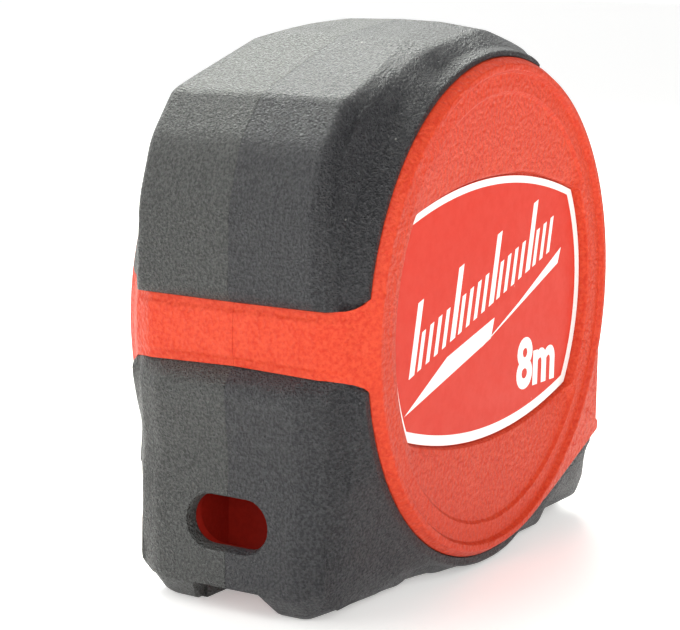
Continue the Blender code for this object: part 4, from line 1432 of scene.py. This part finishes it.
@dataclass
class Label:
    """Barrel-shaped label with a white border, a slanted scale motif, two stripes and the blade's length."""

    shell: Shell
    thickness: float = 0.35 * MM
    border_top: float = 1.15 * MM
    border_low: float = 1.6 * MM
    ink: float = 0.02 * MM
    slant: float = 17.0

    @property
    def face(self) -> float:
        """Where the label's face lies along y."""
        return -(self.shell.form.label_floor + self.thickness)

    def plate(self, shop: Workshop) -> bpy.types.Object:
        """The plate, with its border as faces of their own.

        Args:
            shop: Where pieces are made.

        Returns:
            The piece, with slot 0 the field and slot 1 the border.
        """
        reach = self.shell.label_reach
        corners: set[float] = set()
        for top, low in ((0.0, 0.0), (self.border_top, self.border_low)):
            end = self.shell.form.disc - self.shell.label_inset - low
            for start in (20, 150, 200, 330):
                steps = [start - 20 + 0.1 * i for i in range(401)]
                round_end = [a % 360 for a in steps if abs(reach(a, top, low) - end) < 1e-9]
                if round_end:
                    corners |= {round(min(round_end, key=lambda a: abs(math.cos(math.radians(a)))), 2)}
        angles = sorted(corners | {2.5 * i for i in range(144)})
        back, face = self.shell.form.label_floor + 0.02 * MM, -self.face
        sections = []
        for angle in angles:
            edge = reach(angle)
            field_edge = reach(angle, self.border_top, self.border_low)
            rows = [
                (back, edge),
                (face - 0.08 * MM, edge),
                (face, edge - 0.1 * MM),
                (face, field_edge),
                (face, 4.0 * MM),
            ]
            sections.append(
                self.shell.form.place([Vector(row) for row in rows], angle, Half.RIGHT, bend=False)
            )
        bm = skin(sections, around=True)
        plate = shop.piece("label_sticker", bm)
        axis = shop.axis
        for polygon in plate.data.polygons:
            center = Vector(polygon.center) - axis
            out = math.hypot(center.x, center.z)
            angle = angle_of((center.x, center.z))
            on_face = abs(center.y - self.face) < 0.02 * MM
            if on_face and out > reach(angle, self.border_top, self.border_low) + 0.1 * MM:
                polygon.material_index = 1
        return plate

    def ink_prism(self, outline: Sequence[Point]) -> bmesh.types.BMesh:
        """A thin raised print of this outline on the label's face."""
        return prism(outline, self.face - self.ink, self.face + 0.1 * MM)

    def motif(self, shop: Workshop) -> bpy.types.Object:
        """Slanted scale of long and short bars, rising to the right, over two tapered stripes."""
        lean = math.tan(math.radians(12))
        rise = math.tan(math.radians(self.slant))
        bars = []
        count = 19
        for i in range(count):
            x = (-24.5 + 2.35 * i) * MM
            foot = 0.6 * MM + rise * x
            height = (10.5 if i % 5 == 0 else 5.5) * MM
            width = (1.5 if i % 5 == 0 else 1.05) * MM
            outline = [
                (x, foot),
                (x + width, foot + rise * width),
                (x + width + lean * height, foot + rise * width + height),
                (x + lean * height, foot + height),
            ]
            bars.append(shop.piece("bar", self.ink_prism(outline)))
        for x0, z0, x1, z1, width in ((-25.5, -12.0, 1.0, -1.6, 3.0), (-3.0, -5.6, 23.0, 6.6, 2.4)):
            outline = [
                (x0 * MM, z0 * MM),
                ((x1 - 1.0) * MM, (z1 - width) * MM),
                (x1 * MM, z1 * MM),
                ((x0 + 12.0) * MM, (z0 + width * 2.2) * MM),
            ]
            bars.append(shop.piece("bar", self.ink_prism(outline)))
        return shop.join("label_scale_motif", bars)

    def words(self, shop: Workshop) -> bpy.types.Object:
        """The blade's length."""
        entries = [("8m", 9.0 * MM, -13.8 * MM, 10.6 * MM, 0.7 * MM)]
        made = []
        for text, x, z, height, bold in entries:
            curve = bpy.data.curves.new("numeral", "FONT")
            curve.body = text
            curve.size = height
            curve.extrude = self.ink
            curve.offset = bold * 0.5
            curve.resolution_u = 6
            letter = bpy.data.objects.new("numeral", curve)
            bpy.context.scene.collection.objects.link(letter)
            bpy.context.view_layer.update()
            graph = bpy.context.evaluated_depsgraph_get()
            mesh = bpy.data.meshes.new_from_object(letter.evaluated_get(graph))
            place = Vector((x, self.face, z)) + shop.axis
            mesh.transform(Matrix.Translation(place) @ Matrix.Rotation(math.radians(90), 4, "X"))
            bpy.data.objects.remove(letter)
            bpy.data.curves.remove(curve)
            part = bpy.data.objects.new("numeral", mesh)
            bpy.context.scene.collection.objects.link(part)
            made.append(part)
        return shop.join("label_numerals", made)


# ---------------------------------------------------------------- setting


@dataclass
class Studio:
    """Pale floor, soft light and the camera."""

    eye: Corner = (-273.18 * MM, -160.57 * MM, 90.37 * MM)
    aim: Corner = (-13.37 * MM, -2.6 * MM, 38.07 * MM)
    tilt: float = 1.14
    lens: float = 110.85
    sky: float = 0.22
    backdrop: Corner = (0.05, 0.95, 0.30)
    backdrop_strength: float = 1.5
    glow: float = 0.36

    def floor(self) -> bpy.types.Object:
        """The pale floor, which is not part of the object."""
        mesh = bpy.data.meshes.new("floor")
        reach = 4.0
        mesh.from_pydata(
            [(-reach, -reach, 0), (reach, -reach, 0), (reach, reach, 0), (-reach, reach, 0)],
            [],
            [(0, 1, 2, 3)],
        )
        floor = bpy.data.objects.new("floor", mesh)
        bpy.context.scene.collection.objects.link(floor)
        material = bpy.data.materials.new("pale_floor")
        material.use_nodes = True
        w = Wiring(material.node_tree)
        noise = w.add("ShaderNodeTexNoise", {"Scale": 3.0, "Detail": 3.0})
        shader = material.node_tree.nodes["Principled BSDF"]
        color = w.mix(w.span(noise.outputs[0], 0.3, 0.7), (0.93, 0.925, 0.91, 1.0), (0.95, 0.945, 0.935, 1.0))
        material.node_tree.links.new(color, shader.inputs["Base Color"])
        shader.inputs["Roughness"].default_value = 0.55
        shader.inputs["Emission Color"].default_value = (1.0, 0.99, 0.975, 1.0)
        shader.inputs["Emission Strength"].default_value = self.glow
        mesh.materials.append(material)
        return floor

    def light(self, name: str, place: Corner, size: float, power: float, color: Color) -> None:
        """A square soft light aimed at the object.

        Args:
            name: The light's name.
            place: Where it stands.
            size: Length of its sides.
            power: Its power in watts.
            color: Its colour.
        """
        lamp = bpy.data.lights.new(name, "AREA")
        lamp.shape = "SQUARE"
        lamp.size = size
        lamp.energy = power
        lamp.color = color
        made = bpy.data.objects.new(name, lamp)
        made.location = place
        toward = Vector((0.0, 0.0, 0.04)) - Vector(place)
        made.rotation_euler = toward.to_track_quat("-Z", "Y").to_euler()
        bpy.context.scene.collection.objects.link(made)

    def lights(self) -> None:
        """The sky and the lights: overhead, from the back left, on the label, and low on the back."""
        world = bpy.data.worlds.new("studio")
        bpy.context.scene.world = world
        world.use_nodes = True
        tree = world.node_tree
        w = Wiring(tree)
        seen = w.add("ShaderNodeBackground", {"Color": (1.0, 1.0, 1.0, 1.0), "Strength": 1.05})
        direction = w.add("ShaderNodeTexCoord").outputs["Generated"]
        toward = w.add("ShaderNodeVectorMath", {0: direction, 1: self.backdrop}, operation="DOT_PRODUCT")
        strength = w.span(toward.outputs["Value"], 0.1, 0.9, self.sky, self.backdrop_strength)
        lit = w.add("ShaderNodeBackground", {"Color": (0.98, 0.99, 1.0, 1.0), "Strength": strength})
        camera_ray = w.add("ShaderNodeLightPath").outputs["Is Camera Ray"]
        mixed = w.add("ShaderNodeMixShader", {0: camera_ray, 1: lit.outputs[0], 2: seen.outputs[0]})
        tree.links.new(mixed.outputs[0], tree.nodes["World Output"].inputs["Surface"])
        self.light("top_softbox", (0.30, 0.30, 0.50), 0.50, 6.2, (0.97, 1.0, 0.93))
        self.light("back_softbox", (-0.60, 0.36, 0.22), 0.40, 1.0, (1.0, 0.99, 0.95))
        self.light("label_softbox", (-0.30, -0.62, 0.42), 0.45, 3.0, (1.0, 0.98, 0.96))
        self.light("front_softbox", (-0.70, -0.40, 0.24), 0.22, 1.9, (0.98, 0.98, 1.0))

    def camera(self) -> None:
        """The camera, with a slight roll about its line of sight."""
        data = bpy.data.cameras.new("camera")
        data.lens = self.lens
        data.sensor_width = 36.0
        data.clip_start = 0.01
        camera = bpy.data.objects.new("camera", data)
        back = (Vector(self.eye) - Vector(self.aim)).normalized()
        right = Vector((0, 0, 1)).cross(back).normalized()
        up = back.cross(right)
        roll = math.radians(self.tilt)
        across = right * math.cos(roll) + up * math.sin(roll)
        upward = up * math.cos(roll) - right * math.sin(roll)
        turn = Matrix((across, upward, back)).transposed()
        camera.matrix_world = Matrix.Translation(self.eye) @ turn.to_4x4()
        bpy.context.scene.collection.objects.link(camera)
        bpy.context.scene.camera = camera

    def build(self) -> None:
        """Sets up everything around the object."""
        bpy.context.scene.view_settings.view_transform = "Standard"
        self.floor()
        self.lights()
        self.camera()


# ---------------------------------------------------------------- the whole


NODE_FINISHES = {
    "center_post": "grey_reel",
    "reel_drum": "grey_reel",
    "reel_cover": "grey_reel",
    "mainspring": "spring_steel",
    "blade_coil": "blade_lacquer",
    "blade_tongue": "blade_lacquer",
    "hook_rivet_1": "bright_zinc",
    "hook_rivet_2": "bright_zinc",
    "hook_rivet_3": "bright_zinc",
    "lock_pad": "grip_pad",
    "clip_screw": "bright_zinc",
    "case_screw_1": "bright_zinc",
    "case_screw_2": "bright_zinc",
    "case_screw_3": "bright_zinc",
    "case_screw_4": "bright_zinc",
    "end_hook": "bright_zinc",
    "belt_clip": "clip_steel",
    "lock_slide": "black_lock",
}


def main() -> None:
    """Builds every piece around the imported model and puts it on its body."""
    logging.basicConfig(level=logging.INFO, format="%(name)s: %(message)s")
    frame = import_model()
    Studio().build()
    shop = Workshop(frame)
    form = CaseForm()
    finishes = make_finishes(shop.axis, HOOK_FACE)
    for half in Half:
        shell = Shell(form, half)
        piece = shell.build(shop)
        # Slot 1 is the darker red of painted shade inside the wrist loop's slot and pocket.
        dress(piece, finishes["red_shell"], finishes["red_recess_painted_shade"])
        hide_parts(f"{half.word}_case_shell")
        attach(piece, "case")
        LOG.info("%s: %d faces", piece.name, len(piece.data.polygons))
        grips = (
            UpperGrip(
                shell,
                f"{half.word}_upper_grip",
                form.upper_front,
                form.band_upper,
                start_roll=6.0 * MM,
                stop_roll=2.2 * MM,
            ),
            LowerGrip(
                shell,
                f"{half.word}_lower_grip",
                form.band_lower,
                form.nose_end,
                start_roll=1.6 * MM,
                stop_roll=0.5 * MM,
            ),
        )
        for grip, node in zip(grips, ("upper_bumper", "lower_bumper")):
            piece = grip.build(shop)
            # The left half's grips get the lighter copy of the rubber as painted light.
            dress(piece, finishes["black_grip" if half is Half.RIGHT else "black_grip_painted_lit_left"])
            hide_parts(f"{half.word}_{node}")
            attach(piece, "case")
            LOG.info("%s: %d faces", piece.name, len(piece.data.polygons))
    label = Label(Shell(form, Half.RIGHT))
    plate = label.plate(shop)
    dress(plate, finishes["label_red"], finishes["label_white"])
    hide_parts("label_plate")
    for piece in (plate, label.motif(shop), label.words(shop)):
        if piece is not plate:
            dress(piece, finishes["label_white"])
        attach(piece, "case")
        LOG.info("%s: %d faces", piece.name, len(piece.data.polygons))
    for node, finish in NODE_FINISHES.items():
        dress(frame["nodes"][node], finishes[finish])


if __name__ == "__main__":
    main()
